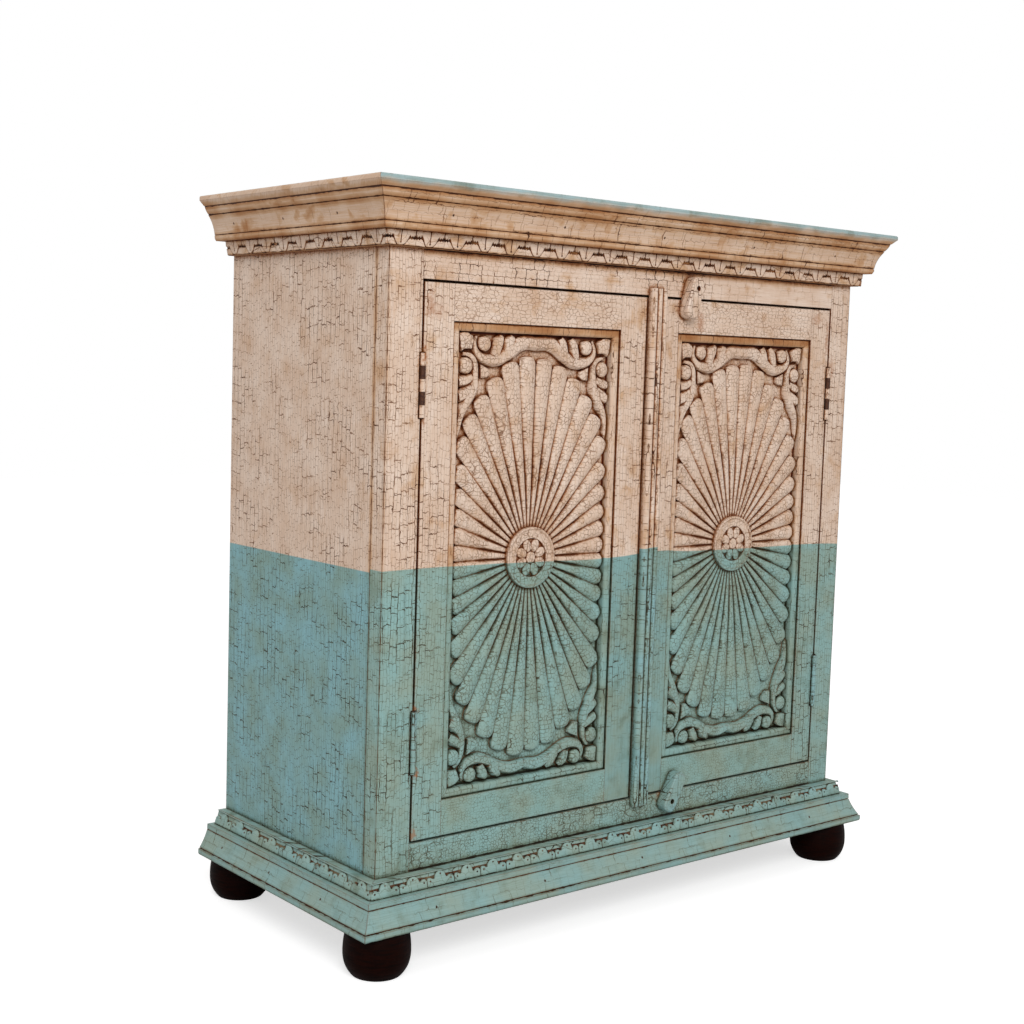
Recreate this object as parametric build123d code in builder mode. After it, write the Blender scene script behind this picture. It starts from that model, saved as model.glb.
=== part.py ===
from build123d import *
import os
from math import cos, hypot, pi, radians, sin, tan

# A two-door cabinet on bun feet: a boarded carcass with a face frame, planted mouldings,
# two framed doors with carved sunburst panels, butt hinges and two wooden turn buttons.
# Millimetres. X to the right, Y to the back, Z up; the origin is on the floor,
# under the middle of the whole cabinet.

# ---- driving dimensions ----

# carcass
carcass_width = 822.0
carcass_depth = 357.0
side_thickness = 22.0
back_thickness = 9.0
back_rabbet_width = 10.0
bottom_thickness = 18.0
shelf_thickness = 18.0
shelf_setback = 12.0
shelf_side_clearance = 1.0
shelf_share_of_opening = 0.5
cleat_height = 25.0
cleat_thickness = 18.0
cleat_setback = 30.0

# face frame
frame_thickness = 25.0
frame_left_stile_width = 48.5
frame_right_stile_width = 40.5
frame_top_rail_height = 96.5
frame_bottom_rail_height = 94.0
frame_tenon_length = 24.0
frame_tenon_thickness = 9.0
frame_tenon_shoulder = 14.0

# heights of the planted work, from the floor up
foot_height = 56.0
plinth_height = 41.0
lower_band_height = 18.5
field_height = 741.0
upper_band_height = 18.5
crown_height = 43.5
top_thickness = 12.5

# how far the mouldings stand out of the carcass faces
plinth_toe_reach = 38.5
plinth_cove_low_reach = 36.5
plinth_cove_high_reach = 25.6
plinth_fillet_reach = 25.3
plinth_toe_height = 9.5
plinth_fillet_height = 8.0
plinth_toe_round = 3.5
lower_band_low_reach = 17.4
lower_band_high_reach = 13.0
upper_band_low_reach = 10.6
upper_band_high_reach = 13.3
crown_bead_low_reach = 21.3
crown_bead_high_reach = 23.5
crown_cove_high_reach = 33.0
crown_ovolo_high_reach = 38.8
crown_bead_height = 7.0
crown_ovolo_height = 11.3
top_reach = 46.0
top_undercut_height = 6.5
top_undercut_depth = 6.5
top_round = 2.5
groove_depth = 1.2
groove_width = 1.0
cove_hollow = 1.0
crown_cove_hollow = 1.8
ovolo_bulge = 0.8
band_bulge = 0.4
cornice_back_overhang = 10.0
base_back_overhang = 5.0

# bun feet
foot_radius = 41.0
foot_sole_radius = 30.0
foot_top_radius = 37.0
foot_widest_height = 28.0
front_foot_inset_x = 8.0
front_foot_inset_y = 3.5
back_foot_inset_x = 13.0
back_foot_inset_y = 19.0
foot_screw_radius = 4.0
foot_screw_length = 60.0
fixing_clearance = 0.05

# doors
door_gap = 3.0
door_meeting_x = 0.0
door_to_stop_clearance = 0.5
door_rail_width = 44.0
left_hinge_stile_width = 43.5
left_meeting_stile_width = 44.5
right_meeting_stile_width = 57.0
right_hinge_stile_width = 39.0
door_tenon_length = 25.0
door_tenon_thickness = 8.0
door_tenon_shoulder = 12.0
door_tenon_depth = 3.0
panel_thickness = 9.0
panel_ground_depth = 13.0
panel_rabbet_width = 10.0
panel_clearance = 0.5
bead_width = 11.0
bead_setback = 1.5
bead_radius = 4.0
mitre_gap = 0.1
stop_height = 28.0
stop_thickness = 12.0
stop_lap = 10.0
stop_end_clearance = 20.0

# carving on the panels
petal_count = 44
petal_crowding = 0.79
petal_height = 6.0
petal_groove = 1.2
sunburst_half_width = 145.0
sunburst_half_height = 251.0
carving_margin = 2.0
scroll_height = 7.0
rosette_radius = 38.5
rosette_height = 7.5
rosette_well_radius = 24.0
rosette_well_depth = 3.0
rosette_lobe_radius = 5.5
rosette_lobe_count = 8
rosette_lobe_height = 1.8
rosette_boss_radius = 8.0
rosette_boss_height = 2.6
right_sunburst_shift = -4.0

# astragal, the reeded strip that covers the meeting line
astragal_width = 27.0
astragal_base = 5.5
reed_count = 3
astragal_lap = 12.5

# butt hinges
hinge_length = 76.0
hinge_inset = 120.5
knuckle_count = 5
knuckle_radius = 3.5
knuckle_end_clearance = 0.15
pin_radius = 1.5
pin_clearance = 0.05
pin_forward = 1.5
leaf_thickness = 1.3
leaf_width = 22.0
leaf_clearance = 0.3
notch_clearance = 0.8
notch_end_clearance = 1.0
screw_radius = 1.6
screw_head_radius = 3.2
screw_length = 17.0
screw_row_depth = 13.0
screw_end_distance = 12.7

# turn buttons
button_length = 56.0
button_width = 22.0
button_thickness = 17.0
button_pivot_distance = 15.0
button_end_radius = 9.0
button_edge = 2.0
button_face_clearance = 0.3
button_sink_radius = 3.4
button_sink_depth = 7.0
button_screw_radius = 2.2
button_head_radius = 3.2
button_head_height = 2.5
button_screw_bite = 20.0
running_clearance = 0.05
upper_button_x = 76.0
upper_button_above_door = 15.5
upper_button_lean = 14.0
lower_button_x = 66.0
lower_button_below_door = 13.0
lower_button_lean = 28.0

# nails and panel screws
nail_radius = 1.2
nail_bite = 12.0
nail_sink = 0.4
nail_lead = 3.0
nail_rows = 5
nail_end_distance = 70.0
side_nail_rows = 3
side_nail_end_distance = 45.0
back_screw_radius = 1.8
back_screw_head_radius = 3.6
back_screw_head_height = 1.6
back_screw_length = 24.0
back_screw_edge = 5.0
back_screw_rows = 4

# ---- places that follow from the driving dimensions ----

overall_depth = top_reach + carcass_depth + foot_radius - back_foot_inset_y
front_y = top_reach - overall_depth / 2
back_y = front_y + carcass_depth
left_x = -carcass_width / 2
right_x = carcass_width / 2
inner_left_x = left_x + side_thickness
inner_right_x = right_x - side_thickness
frame_back_y = front_y + frame_thickness
inner_back_y = back_y - back_thickness

plinth_z = foot_height
lower_band_z = plinth_z + plinth_height
field_z = lower_band_z + lower_band_height
upper_band_z = field_z + field_height
crown_z = upper_band_z + upper_band_height
top_z = crown_z + crown_height

opening_left_x = left_x + frame_left_stile_width
opening_right_x = right_x - frame_right_stile_width
opening_bottom_z = plinth_z + frame_bottom_rail_height
opening_top_z = top_z - frame_top_rail_height

door_thickness = frame_thickness - door_to_stop_clearance
door_back_y = front_y + door_thickness
door_bottom_z = opening_bottom_z + door_gap
door_top_z = opening_top_z - door_gap
panel_front_y = front_y + panel_ground_depth
panel_back_y = panel_front_y + panel_thickness
light_bottom_z = door_bottom_z + door_rail_width
light_top_z = door_top_z - door_rail_width
hinge_heights = (door_bottom_z + hinge_inset, door_top_z - hinge_inset)
pin_y = front_y - pin_forward

# side: -1 hangs the door on the left of the frame, +1 on the right
doors = {
    "left": {
        "side": -1,
        "opening_x": opening_left_x,
        "hinge_x": opening_left_x + door_gap,
        "meeting_x": door_meeting_x - door_gap / 2,
        "hinge_stile": left_hinge_stile_width,
        "meeting_stile": left_meeting_stile_width,
        "sunburst_shift": 0.0,
    },
    "right": {
        "side": 1,
        "opening_x": opening_right_x,
        "hinge_x": opening_right_x - door_gap,
        "meeting_x": door_meeting_x + door_gap / 2,
        "hinge_stile": right_hinge_stile_width,
        "meeting_stile": right_meeting_stile_width,
        "sunburst_shift": right_sunburst_shift,
    },
}
for door in doors.values():
    door["light_hinge_x"] = door["hinge_x"] - door["side"] * door["hinge_stile"]
    door["light_meeting_x"] = door["meeting_x"] + door["side"] * door["meeting_stile"]
    door["pin_x"] = (door["opening_x"] + door["hinge_x"]) / 2
    door["light_middle_x"] = (door["light_hinge_x"] + door["light_meeting_x"]) / 2
    door["light_width"] = abs(door["light_hinge_x"] - door["light_meeting_x"])

foot_places = {
    "front_left": (left_x + front_foot_inset_x, front_y + front_foot_inset_y),
    "front_right": (right_x - front_foot_inset_x, front_y + front_foot_inset_y),
    "back_left": (left_x + back_foot_inset_x, back_y - back_foot_inset_y),
    "back_right": (right_x - back_foot_inset_x, back_y - back_foot_inset_y),
}

os.makedirs("parts", exist_ok=True)


# ---- helpers ----

def save(piece, name):
    """Label a finished piece and write it under its own name."""
    piece.part.label = name
    export_step(piece.part, f"parts/{name}.step")


def block(x_ends, y_ends, z_ends, mode=Mode.ADD):
    """A square-edged block between two places on each axis, in the part being built."""
    middle = [(a + b) / 2 for a, b in (x_ends, y_ends, z_ends)]
    with Locations(tuple(middle)):
        Box(*[abs(b - a) for a, b in (x_ends, y_ends, z_ends)], mode=mode)


def spread(first, last, count):
    """Evenly spaced places from first to last."""
    return [first + (last - first) * i / (count - 1) for i in range(count)]


# ---- holes that several pieces share ----

# Nails: (place on the moulding's face, inward direction, length)
cove_middle = (plinth_cove_low_reach + plinth_cove_high_reach) / 2 - cove_hollow
crown_middle = (crown_bead_high_reach + crown_cove_high_reach) / 2 - crown_cove_hollow
nail_levels = (
    (plinth_z + (plinth_height + plinth_toe_height - plinth_fillet_height) / 2, cove_middle),
    (crown_z + (crown_height + crown_bead_height - crown_ovolo_height) / 2, crown_middle),
)
nails = []
for level, reach in nail_levels:
    length = reach + nail_bite
    for x in spread(left_x + nail_end_distance, right_x - nail_end_distance, nail_rows):
        nails.append(((x, front_y - reach + nail_sink, level), (0, 1, 0), length))
    side_ends = (frame_back_y + side_nail_end_distance, back_y - side_nail_end_distance)
    for y in spread(*side_ends, side_nail_rows):
        nails.append(((left_x - reach + nail_sink, y, level), (1, 0, 0), length))
        nails.append(((right_x + reach - nail_sink, y, level), (-1, 0, 0), length))

back_screw_places = []
for z in spread(opening_bottom_z - bottom_thickness / 2, top_z - nail_bite, back_screw_rows):
    back_screw_places.append((left_x + side_thickness - back_screw_edge, z))
    back_screw_places.append((right_x - side_thickness + back_screw_edge, z))


def shaft(start, radius, length):
    """A plain cylinder from a plane along its normal, joined to the part being built."""
    with BuildSketch(start) as section:
        Circle(radius)
    extrude(section.sketch, amount=length)


def nail_shafts(clearance, lead):
    """Every nail, or with a clearance its hole, which starts a lead in front of the nail's head."""
    for place, inward, length in nails:
        start = Plane(origin=place, z_dir=inward).offset(-lead)
        shaft(start, nail_radius + clearance, length + lead + clearance)


def back_screw_shafts(clearance):
    """Flat-headed screws that hold the back board to the side boards."""
    for x, z in back_screw_places:
        start = Plane(origin=(x, back_y, z), z_dir=(0, -1, 0))
        shaft(start, back_screw_head_radius + clearance, back_screw_head_height + clearance)
        shaft(start, back_screw_radius + clearance, back_screw_length + clearance)


def foot_screw_shafts(clearance):
    """A double-ended screw up the middle of each foot, half in the foot, half in the carcass."""
    low_z = foot_height - foot_screw_length / 2 - clearance
    for x, y in foot_places.values():
        start = Plane(origin=(x, y, low_z), z_dir=(0, 0, 1))
        shaft(start, foot_screw_radius + clearance, foot_screw_length + 2 * clearance)


def hinge_screw_places():
    """Middles of the screw heads of one door's hinges, as (y, z)."""
    offset = hinge_length / 2 - screw_end_distance
    return [(front_y + screw_row_depth, z + d) for z in hinge_heights for d in (-offset, 0, offset)]


def leaf_screws(surface_x, inward, clearance):
    """Countersunk screws that start flush with a leaf's free face and run into the wood."""
    for y, z in hinge_screw_places():
        head = Plane(origin=(surface_x, y, z), z_dir=(inward, 0, 0))
        with BuildSketch(head) as wide:
            Circle(screw_head_radius + clearance)
        with BuildSketch(head.offset(leaf_thickness)) as narrow:
            Circle(screw_radius + clearance)
        loft([wide.sketch, narrow.sketch])
        shaft(head, screw_radius + clearance, screw_length + clearance)


with BuildPart() as nail_holes:
    nail_shafts(fixing_clearance, nail_lead)
with BuildPart() as back_screw_holes:
    back_screw_shafts(fixing_clearance)
with BuildPart() as foot_screw_holes:
    foot_screw_shafts(fixing_clearance)


def hinge_notches(door, edge_x, into):
    """The shallow pockets that let the hinge barrels sink into a stile's front edge."""
    reach = knuckle_radius + notch_clearance
    half = hinge_length / 2 + notch_end_clearance
    for z in hinge_heights:
        block(
            (edge_x, door["pin_x"] + into * reach),
            (pin_y, pin_y + reach),
            (z - half, z + half),
            Mode.SUBTRACT,
        )


# ---- carcass boards ----

for name, outer, inner in (
    ("left_side_board", left_x, inner_left_x),
    ("right_side_board", right_x, inner_right_x),
):
    into = 1 if outer < 0 else -1
    with BuildPart() as side_board:
        block((outer, inner), (frame_back_y, back_y), (plinth_z, top_z))
        block(
            (inner - into * back_rabbet_width, inner),
            (inner_back_y, back_y),
            (plinth_z, top_z),
            Mode.SUBTRACT,
        )
        add(nail_holes.part, mode=Mode.SUBTRACT)
        add(back_screw_holes.part, mode=Mode.SUBTRACT)
        add(foot_screw_holes.part, mode=Mode.SUBTRACT)
    save(side_board, name)

with BuildPart() as back_board:
    block(
        (inner_left_x - back_rabbet_width, inner_right_x + back_rabbet_width),
        (inner_back_y, back_y),
        (plinth_z, top_z),
    )
    add(back_screw_holes.part, mode=Mode.SUBTRACT)
    add(foot_screw_holes.part, mode=Mode.SUBTRACT)
save(back_board, "back_board")

with BuildPart() as back_screws:
    back_screw_shafts(0)
save(back_screws, "back_screws")

with BuildPart() as bottom_board:
    block(
        (inner_left_x, inner_right_x),
        (frame_back_y, inner_back_y),
        (opening_bottom_z - bottom_thickness, opening_bottom_z),
    )
save(bottom_board, "bottom_board")

shelf_top_z = opening_bottom_z + shelf_share_of_opening * (opening_top_z - opening_bottom_z)
shelf_bottom_z = shelf_top_z - shelf_thickness
with BuildPart() as shelf_board:
    block(
        (inner_left_x + shelf_side_clearance, inner_right_x - shelf_side_clearance),
        (frame_back_y + shelf_setback, inner_back_y),
        (shelf_bottom_z, shelf_top_z),
    )
save(shelf_board, "shelf_board")

with BuildPart() as shelf_cleats:
    for wall, into in ((inner_left_x, 1), (inner_right_x, -1)):
        block(
            (wall, wall + into * cleat_thickness),
            (frame_back_y + cleat_setback, inner_back_y),
            (shelf_bottom_z - cleat_height, shelf_bottom_z),
        )
save(shelf_cleats, "shelf_cleats")

with BuildPart() as top_board:
    block(
        (left_x - top_reach, right_x + top_reach),
        (front_y - top_reach, back_y + cornice_back_overhang),
        (top_z, top_z + top_thickness),
    )
    underside = top_board.faces().sort_by(Axis.Z)[0]
    low_edges = underside.edges().filter_by(Axis.Y) + underside.edges().sort_by(Axis.Y)[:1]
    chamfer(low_edges, length=top_undercut_depth, length2=top_undercut_height, reference=underside)
    upper_side = top_board.faces().sort_by(Axis.Z)[-1]
    high_edges = upper_side.edges().filter_by(Axis.Y) + upper_side.edges().sort_by(Axis.Y)[:1]
    fillet(high_edges, top_round)
save(top_board, "top_board")

# ---- face frame ----

frame_tenon_y = (
    front_y + (frame_thickness - frame_tenon_thickness) / 2,
    front_y + (frame_thickness + frame_tenon_thickness) / 2,
)
frame_rails = {
    "frame_bottom_rail": (plinth_z, opening_bottom_z),
    "frame_top_rail": (opening_top_z, top_z),
}
button_places = {
    "upper": (upper_button_x, door_top_z + upper_button_above_door),
    "lower": (lower_button_x, door_bottom_z - lower_button_below_door),
}


def frame_tenons(rails, clearance, mode):
    """The tongues on the ends of the frame's rails, or the mortises that take them."""
    for low, high in rails:
        for edge, out in ((opening_left_x, -1), (opening_right_x, 1)):
            block(
                (edge, edge + out * (frame_tenon_length + clearance)),
                frame_tenon_y,
                (low + frame_tenon_shoulder, high - frame_tenon_shoulder),
                mode,
            )




for name, door, outer in (
    ("frame_left_stile", doors["left"], left_x),
    ("frame_right_stile", doors["right"], right_x),
):
    surface_x = door["opening_x"] - door["side"] * leaf_thickness
    with BuildPart() as hinge_screw_holes:
        leaf_screws(surface_x, door["side"], fixing_clearance)
    with BuildPart() as frame_stile:
        block((outer, door["opening_x"]), (front_y, frame_back_y), (plinth_z, top_z))
        frame_tenons(frame_rails.values(), fixing_clearance, Mode.SUBTRACT)
        hinge_notches(door, door["opening_x"], door["side"])
        add(hinge_screw_holes.part, mode=Mode.SUBTRACT)
        add(nail_holes.part, mode=Mode.SUBTRACT)
        add(foot_screw_holes.part, mode=Mode.SUBTRACT)
    save(frame_stile, name)

with BuildPart() as button_screw_holes:
    for x, z in button_places.values():
        start = Plane(origin=(x, front_y, z), z_dir=(0, 1, 0))
        shaft(start, button_screw_radius + fixing_clearance, button_screw_bite + fixing_clearance)

for name, (low, high) in frame_rails.items():
    with BuildPart() as frame_rail:
        block((opening_left_x, opening_right_x), (front_y, frame_back_y), (low, high))
        frame_tenons([(low, high)], 0, Mode.ADD)
        add(button_screw_holes.part, mode=Mode.SUBTRACT)
        add(nail_holes.part, mode=Mode.SUBTRACT)
    save(frame_rail, name)

with BuildPart() as door_stop:
    block(
        (opening_left_x + stop_end_clearance, opening_right_x - stop_end_clearance),
        (frame_back_y, frame_back_y + stop_thickness),
        (opening_top_z - stop_lap, opening_top_z - stop_lap + stop_height),
    )
save(door_stop, "door_stop")


# ---- planted mouldings: profiles drawn as (reach, height) ----

def plinth_profile(plane):
    """Rounded toe, hollow slope and flat fillet, from the bottom up."""
    slope_low = plinth_toe_height + groove_width
    slope_high = plinth_height - plinth_fillet_height
    middle = (
        (plinth_cove_low_reach + plinth_cove_high_reach) / 2 - cove_hollow,
        (slope_low + slope_high) / 2,
    )
    with BuildSketch(plane) as section:
        with BuildLine():
            Line((0, 0), (plinth_toe_reach - plinth_toe_round, 0))
            RadiusArc(
                (plinth_toe_reach - plinth_toe_round, 0),
                (plinth_toe_reach, plinth_toe_round),
                -plinth_toe_round,
            )
            Polyline(
                (plinth_toe_reach, plinth_toe_round),
                (plinth_toe_reach, plinth_toe_height - groove_width),
                (plinth_cove_low_reach, plinth_toe_height),
                (plinth_cove_low_reach - groove_depth, plinth_toe_height),
                (plinth_cove_low_reach, slope_low),
            )
            ThreePointArc(
                (plinth_cove_low_reach, slope_low), middle, (plinth_cove_high_reach, slope_high)
            )
            Polyline(
                (plinth_cove_high_reach, slope_high),
                (plinth_cove_high_reach - groove_depth, slope_high + groove_width / 2),
                (plinth_cove_high_reach, slope_high + groove_width),
                (plinth_fillet_reach, plinth_height),
                (0, plinth_height),
                (0, 0),
            )
        make_face()
    return section.sketch


def band_profile(plane, low_reach, high_reach, height):
    """A carved band before carving: a board with a slightly bulging, leaning face."""
    with BuildSketch(plane) as section:
        with BuildLine():
            Line((0, 0), (low_reach, 0))
            ThreePointArc(
                (low_reach, 0),
                ((low_reach + high_reach) / 2 + band_bulge, height / 2),
                (high_reach, height),
            )
            Polyline((high_reach, height), (0, height), (0, 0))
        make_face()
    return section.sketch


def crown_profile(plane):
    """Bead, hollow slope and bulging upper member, from the bottom up."""
    hollow_low = crown_bead_height + groove_width
    hollow_high = crown_height - crown_ovolo_height
    with BuildSketch(plane) as section:
        with BuildLine():
            Line((0, 0), (crown_bead_low_reach, 0))
            ThreePointArc(
                (crown_bead_low_reach, 0),
                ((crown_bead_low_reach + crown_bead_high_reach) / 2 + ovolo_bulge, crown_bead_height / 2),
                (crown_bead_high_reach, crown_bead_height),
            )
            Polyline(
                (crown_bead_high_reach, crown_bead_height),
                (crown_bead_high_reach - groove_depth, crown_bead_height + groove_width / 2),
                (crown_bead_high_reach, hollow_low),
            )
            ThreePointArc(
                (crown_bead_high_reach, hollow_low),
                (
                    (crown_bead_high_reach + crown_cove_high_reach) / 2 - crown_cove_hollow,
                    (hollow_low + hollow_high) / 2,
                ),
                (crown_cove_high_reach, hollow_high),
            )
            Polyline(
                (crown_cove_high_reach, hollow_high),
                (crown_cove_high_reach - groove_depth, hollow_high + groove_width / 2),
                (crown_cove_high_reach, hollow_high + groove_width),
            )
            ThreePointArc(
                (crown_cove_high_reach, hollow_high + groove_width),
                (
                    (crown_cove_high_reach + crown_ovolo_high_reach) / 2 + ovolo_bulge,
                    (hollow_high + groove_width + crown_height) / 2,
                ),
                (crown_ovolo_high_reach, crown_height),
            )
            Polyline((crown_ovolo_high_reach, crown_height), (0, crown_height), (0, 0))
        make_face()
    return section.sketch


mouldings = {
    "plinth": (plinth_profile, plinth_z, plinth_toe_reach, base_back_overhang),
    "lower_band": (
        lambda plane: band_profile(
            plane, lower_band_low_reach, lower_band_high_reach, lower_band_height
        ),
        lower_band_z,
        lower_band_low_reach,
        base_back_overhang,
    ),
    "upper_band": (
        lambda plane: band_profile(
            plane, upper_band_low_reach, upper_band_high_reach, upper_band_height
        ),
        upper_band_z,
        upper_band_high_reach,
        cornice_back_overhang,
    ),
    "crown": (crown_profile, crown_z, crown_ovolo_high_reach, cornice_back_overhang),
}
left_mitre = Plane(origin=(left_x, front_y, 0), z_dir=(1, -1, 0))
right_mitre = Plane(origin=(right_x, front_y, 0), z_dir=(-1, -1, 0))

for name, (profile, base_z, reach, overhang) in mouldings.items():
    far_y = back_y + overhang
    near_y = front_y - reach
    front_end = Plane(origin=(right_x + reach, front_y, base_z), x_dir=(0, -1, 0), z_dir=(-1, 0, 0))
    with BuildPart() as front_moulding:
        extrude(profile(front_end), amount=carcass_width + 2 * reach)
        split(bisect_by=left_mitre, keep=Keep.TOP)
        split(bisect_by=right_mitre, keep=Keep.TOP)
        add(nail_holes.part, mode=Mode.SUBTRACT)
        add(foot_screw_holes.part, mode=Mode.SUBTRACT)
    save(front_moulding, f"{name}_front")
    left_end = Plane(origin=(left_x, near_y, base_z), x_dir=(-1, 0, 0), z_dir=(0, 1, 0))
    with BuildPart() as left_moulding:
        extrude(profile(left_end), amount=far_y - near_y)
        split(bisect_by=left_mitre, keep=Keep.BOTTOM)
        add(nail_holes.part, mode=Mode.SUBTRACT)
    save(left_moulding, f"{name}_left")
    right_end = Plane(origin=(right_x, far_y, base_z), x_dir=(1, 0, 0), z_dir=(0, -1, 0))
    with BuildPart() as right_moulding:
        extrude(profile(right_end), amount=far_y - near_y)
        split(bisect_by=right_mitre, keep=Keep.BOTTOM)
        add(nail_holes.part, mode=Mode.SUBTRACT)
    save(right_moulding, f"{name}_right")

with BuildPart() as moulding_nails:
    nail_shafts(0, 0)
save(moulding_nails, "moulding_nails")

# ---- bun feet ----

for name, (x, y) in foot_places.items():
    with BuildPart() as foot:
        with BuildSketch(Plane(origin=(x, y, 0), x_dir=(1, 0, 0), z_dir=(0, -1, 0))):
            with BuildLine():
                Line((0, 0), (foot_sole_radius, 0))
                widest = (foot_radius, foot_widest_height)
                Spline((foot_sole_radius, 0), widest, tangents=((1, 1), (0, 1)))
                Spline(widest, (foot_top_radius, foot_height), tangents=((0, 1), (-1, 3)))
                Polyline((foot_top_radius, foot_height), (0, foot_height), (0, 0))
            make_face()
        revolve(axis=Axis((x, y, 0), (0, 0, 1)))
        add(foot_screw_holes.part, mode=Mode.SUBTRACT)
    save(foot, f"{name}_foot")

with BuildPart() as foot_screws:
    foot_screw_shafts(0)
save(foot_screws, "foot_screws")


# ---- hinges ----

def knuckle_ends(z, index):
    """Bottom and top of one knuckle of the hinge whose middle is at height z."""
    pitch = hinge_length / knuckle_count
    low = z - hinge_length / 2 + index * pitch
    return low + knuckle_end_clearance, low + pitch - knuckle_end_clearance


def hinge_leaf(door, z, wood_x, away, first_knuckle, screw_holes):
    """A leaf with every second knuckle; away points from the wood to the leaf's free face."""
    plate = (wood_x, wood_x + away * leaf_thickness)
    plate_start = pin_y + knuckle_radius + leaf_clearance
    with BuildPart() as leaf:
        block(plate, (plate_start, front_y + leaf_width), (z - hinge_length / 2, z + hinge_length / 2))
        for index in range(first_knuckle, knuckle_count, 2):
            low, high = knuckle_ends(z, index)
            block(plate, (pin_y, plate_start), (low, high))
            shaft(Plane(origin=(door["pin_x"], pin_y, low)), knuckle_radius, high - low)
        bore = Plane(origin=(door["pin_x"], pin_y, z - hinge_length))
        with BuildSketch(bore):
            Circle(pin_radius + pin_clearance)
        extrude(amount=2 * hinge_length, mode=Mode.SUBTRACT)
        add(screw_holes, mode=Mode.SUBTRACT)
    return leaf


for side_name, door in doors.items():
    side = door["side"]
    with BuildPart() as frame_screw_holes:
        leaf_screws(door["opening_x"] - side * leaf_thickness, side, fixing_clearance)
    with BuildPart() as door_screw_holes:
        leaf_screws(door["hinge_x"] + side * leaf_thickness, -side, fixing_clearance)
    for level, z in zip(("lower", "upper"), hinge_heights):
        frame_leaf = hinge_leaf(door, z, door["opening_x"], -side, 0, frame_screw_holes.part)
        save(frame_leaf, f"{side_name}_{level}_frame_leaf")
        door_leaf = hinge_leaf(door, z, door["hinge_x"], side, 1, door_screw_holes.part)
        save(door_leaf, f"{side_name}_{level}_door_leaf")

with BuildPart() as hinge_pins:
    for door in doors.values():
        for z in hinge_heights:
            shaft(Plane(origin=(door["pin_x"], pin_y, z - hinge_length / 2)), pin_radius, hinge_length)
save(hinge_pins, "hinge_pins")

with BuildPart() as frame_hinge_screws:
    for door in doors.values():
        leaf_screws(door["opening_x"] - door["side"] * leaf_thickness, door["side"], 0)
save(frame_hinge_screws, "frame_hinge_screws")


# ---- doors ----

door_tenon_y = (front_y + door_tenon_depth, front_y + door_tenon_depth + door_tenon_thickness)
door_rails = {
    "bottom": (door_bottom_z, light_bottom_z, light_bottom_z - panel_rabbet_width),
    "top": (light_top_z, door_top_z, light_top_z + panel_rabbet_width),
}


def panel_pocket(door):
    """The rabbet behind the door's opening that the carved panel lies in."""
    out = door["side"] * panel_rabbet_width
    block(
        (door["light_meeting_x"] - out, door["light_hinge_x"] + out),
        (panel_front_y, door_back_y),
        (light_bottom_z - panel_rabbet_width, light_top_z + panel_rabbet_width),
        Mode.SUBTRACT,
    )


def rail_tenons(door, low, high, clearance, mode):
    """The tongues on both ends of one door rail, or the mortises for them."""
    for edge, out in (
        (door["light_hinge_x"], door["side"]),
        (door["light_meeting_x"], -door["side"]),
    ):
        block(
            (edge, edge + out * (door_tenon_length + clearance)),
            door_tenon_y,
            (low + door_tenon_shoulder, high - door_tenon_shoulder),
            mode,
        )


def sunburst(hub, shift, clear_half_width):
    """The petals about the rosette, narrowest and longest up and down, clear of the beading."""
    with BuildSketch(hub) as rays:
        for index in range(petal_count):
            turn = (index + 0.5) * 2 * pi / petal_count
            across, up = petal_crowding * sin(turn), cos(turn)
            stretch = hypot(across, up)
            across, up = across / stretch, up / stretch
            slope = tan(pi / petal_count * petal_crowding / stretch**2)
            limit = clear_half_width - shift if across > 0 else clear_half_width + shift
            reach = min(
                1 / hypot(across / sunburst_half_width, up / sunburst_half_height),
                limit / max(abs(across), limit / sunburst_half_height),
            )
            root = rosette_radius - petal_groove
            shoulder = reach / (1 + slope)
            corners = (
                (shoulder, shoulder * slope - petal_groove / 2),
                (root, root * slope - petal_groove / 2),
                (root, petal_groove / 2 - root * slope),
                (shoulder, petal_groove / 2 - shoulder * slope),
            )
            points = [(a * across + b * up, a * up - b * across) for a, b in corners]
            with BuildLine():
                Polyline(*points)
                ThreePointArc(points[-1], (reach * across, reach * up), points[0])
            make_face()
        with Locations((-shift, 0)):
            Rectangle(2 * clear_half_width, 2 * sunburst_half_height, mode=Mode.INTERSECT)
    return rays.sketch


# Corner carving, as (distance in from the side, distance down from the top) of the carved field.
corner_block = ((2, 2), (20, 4), (16, 22), (5, 22))
corner_leaf = ((36, 38), (52, 43), (52, 51), (40, 55))
top_scroll = (
    (25, 8), (28, 28), (50, 41), (75, 39), (101, 23), (121, 18),
    (121, 12), (103, 2), (84, 3), (74, 8), (60, 4), (52, 10), (38, 2),
)
side_scroll = (
    (12, 24), (28, 28), (34, 54), (25, 81), (11, 110),
    (4, 119), (5, 90), (2, 80), (6, 70), (2, 61), (5, 52), (2, 36),
)


def corner_carving(ground, half_width, half_height):
    """Two scrolls, a leaf and a block in each of the four corners, each pair a mirror image."""
    with BuildSketch(ground) as scrolls:
        for side in (-1, 1):
            for end in (-1, 1):
                def places(outline):
                    return [(side * (half_width - x), end * (half_height - y)) for x, y in outline]

                for outline in (top_scroll, side_scroll):
                    with BuildLine():
                        Spline(*places(outline), periodic=True)
                    make_face()
                for outline in (corner_block, corner_leaf):
                    with BuildLine():
                        Polyline(*places(outline), close=True)
                    make_face()
        Rectangle(2 * half_width, 2 * half_height, mode=Mode.INTERSECT)
    return scrolls.sketch


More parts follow.
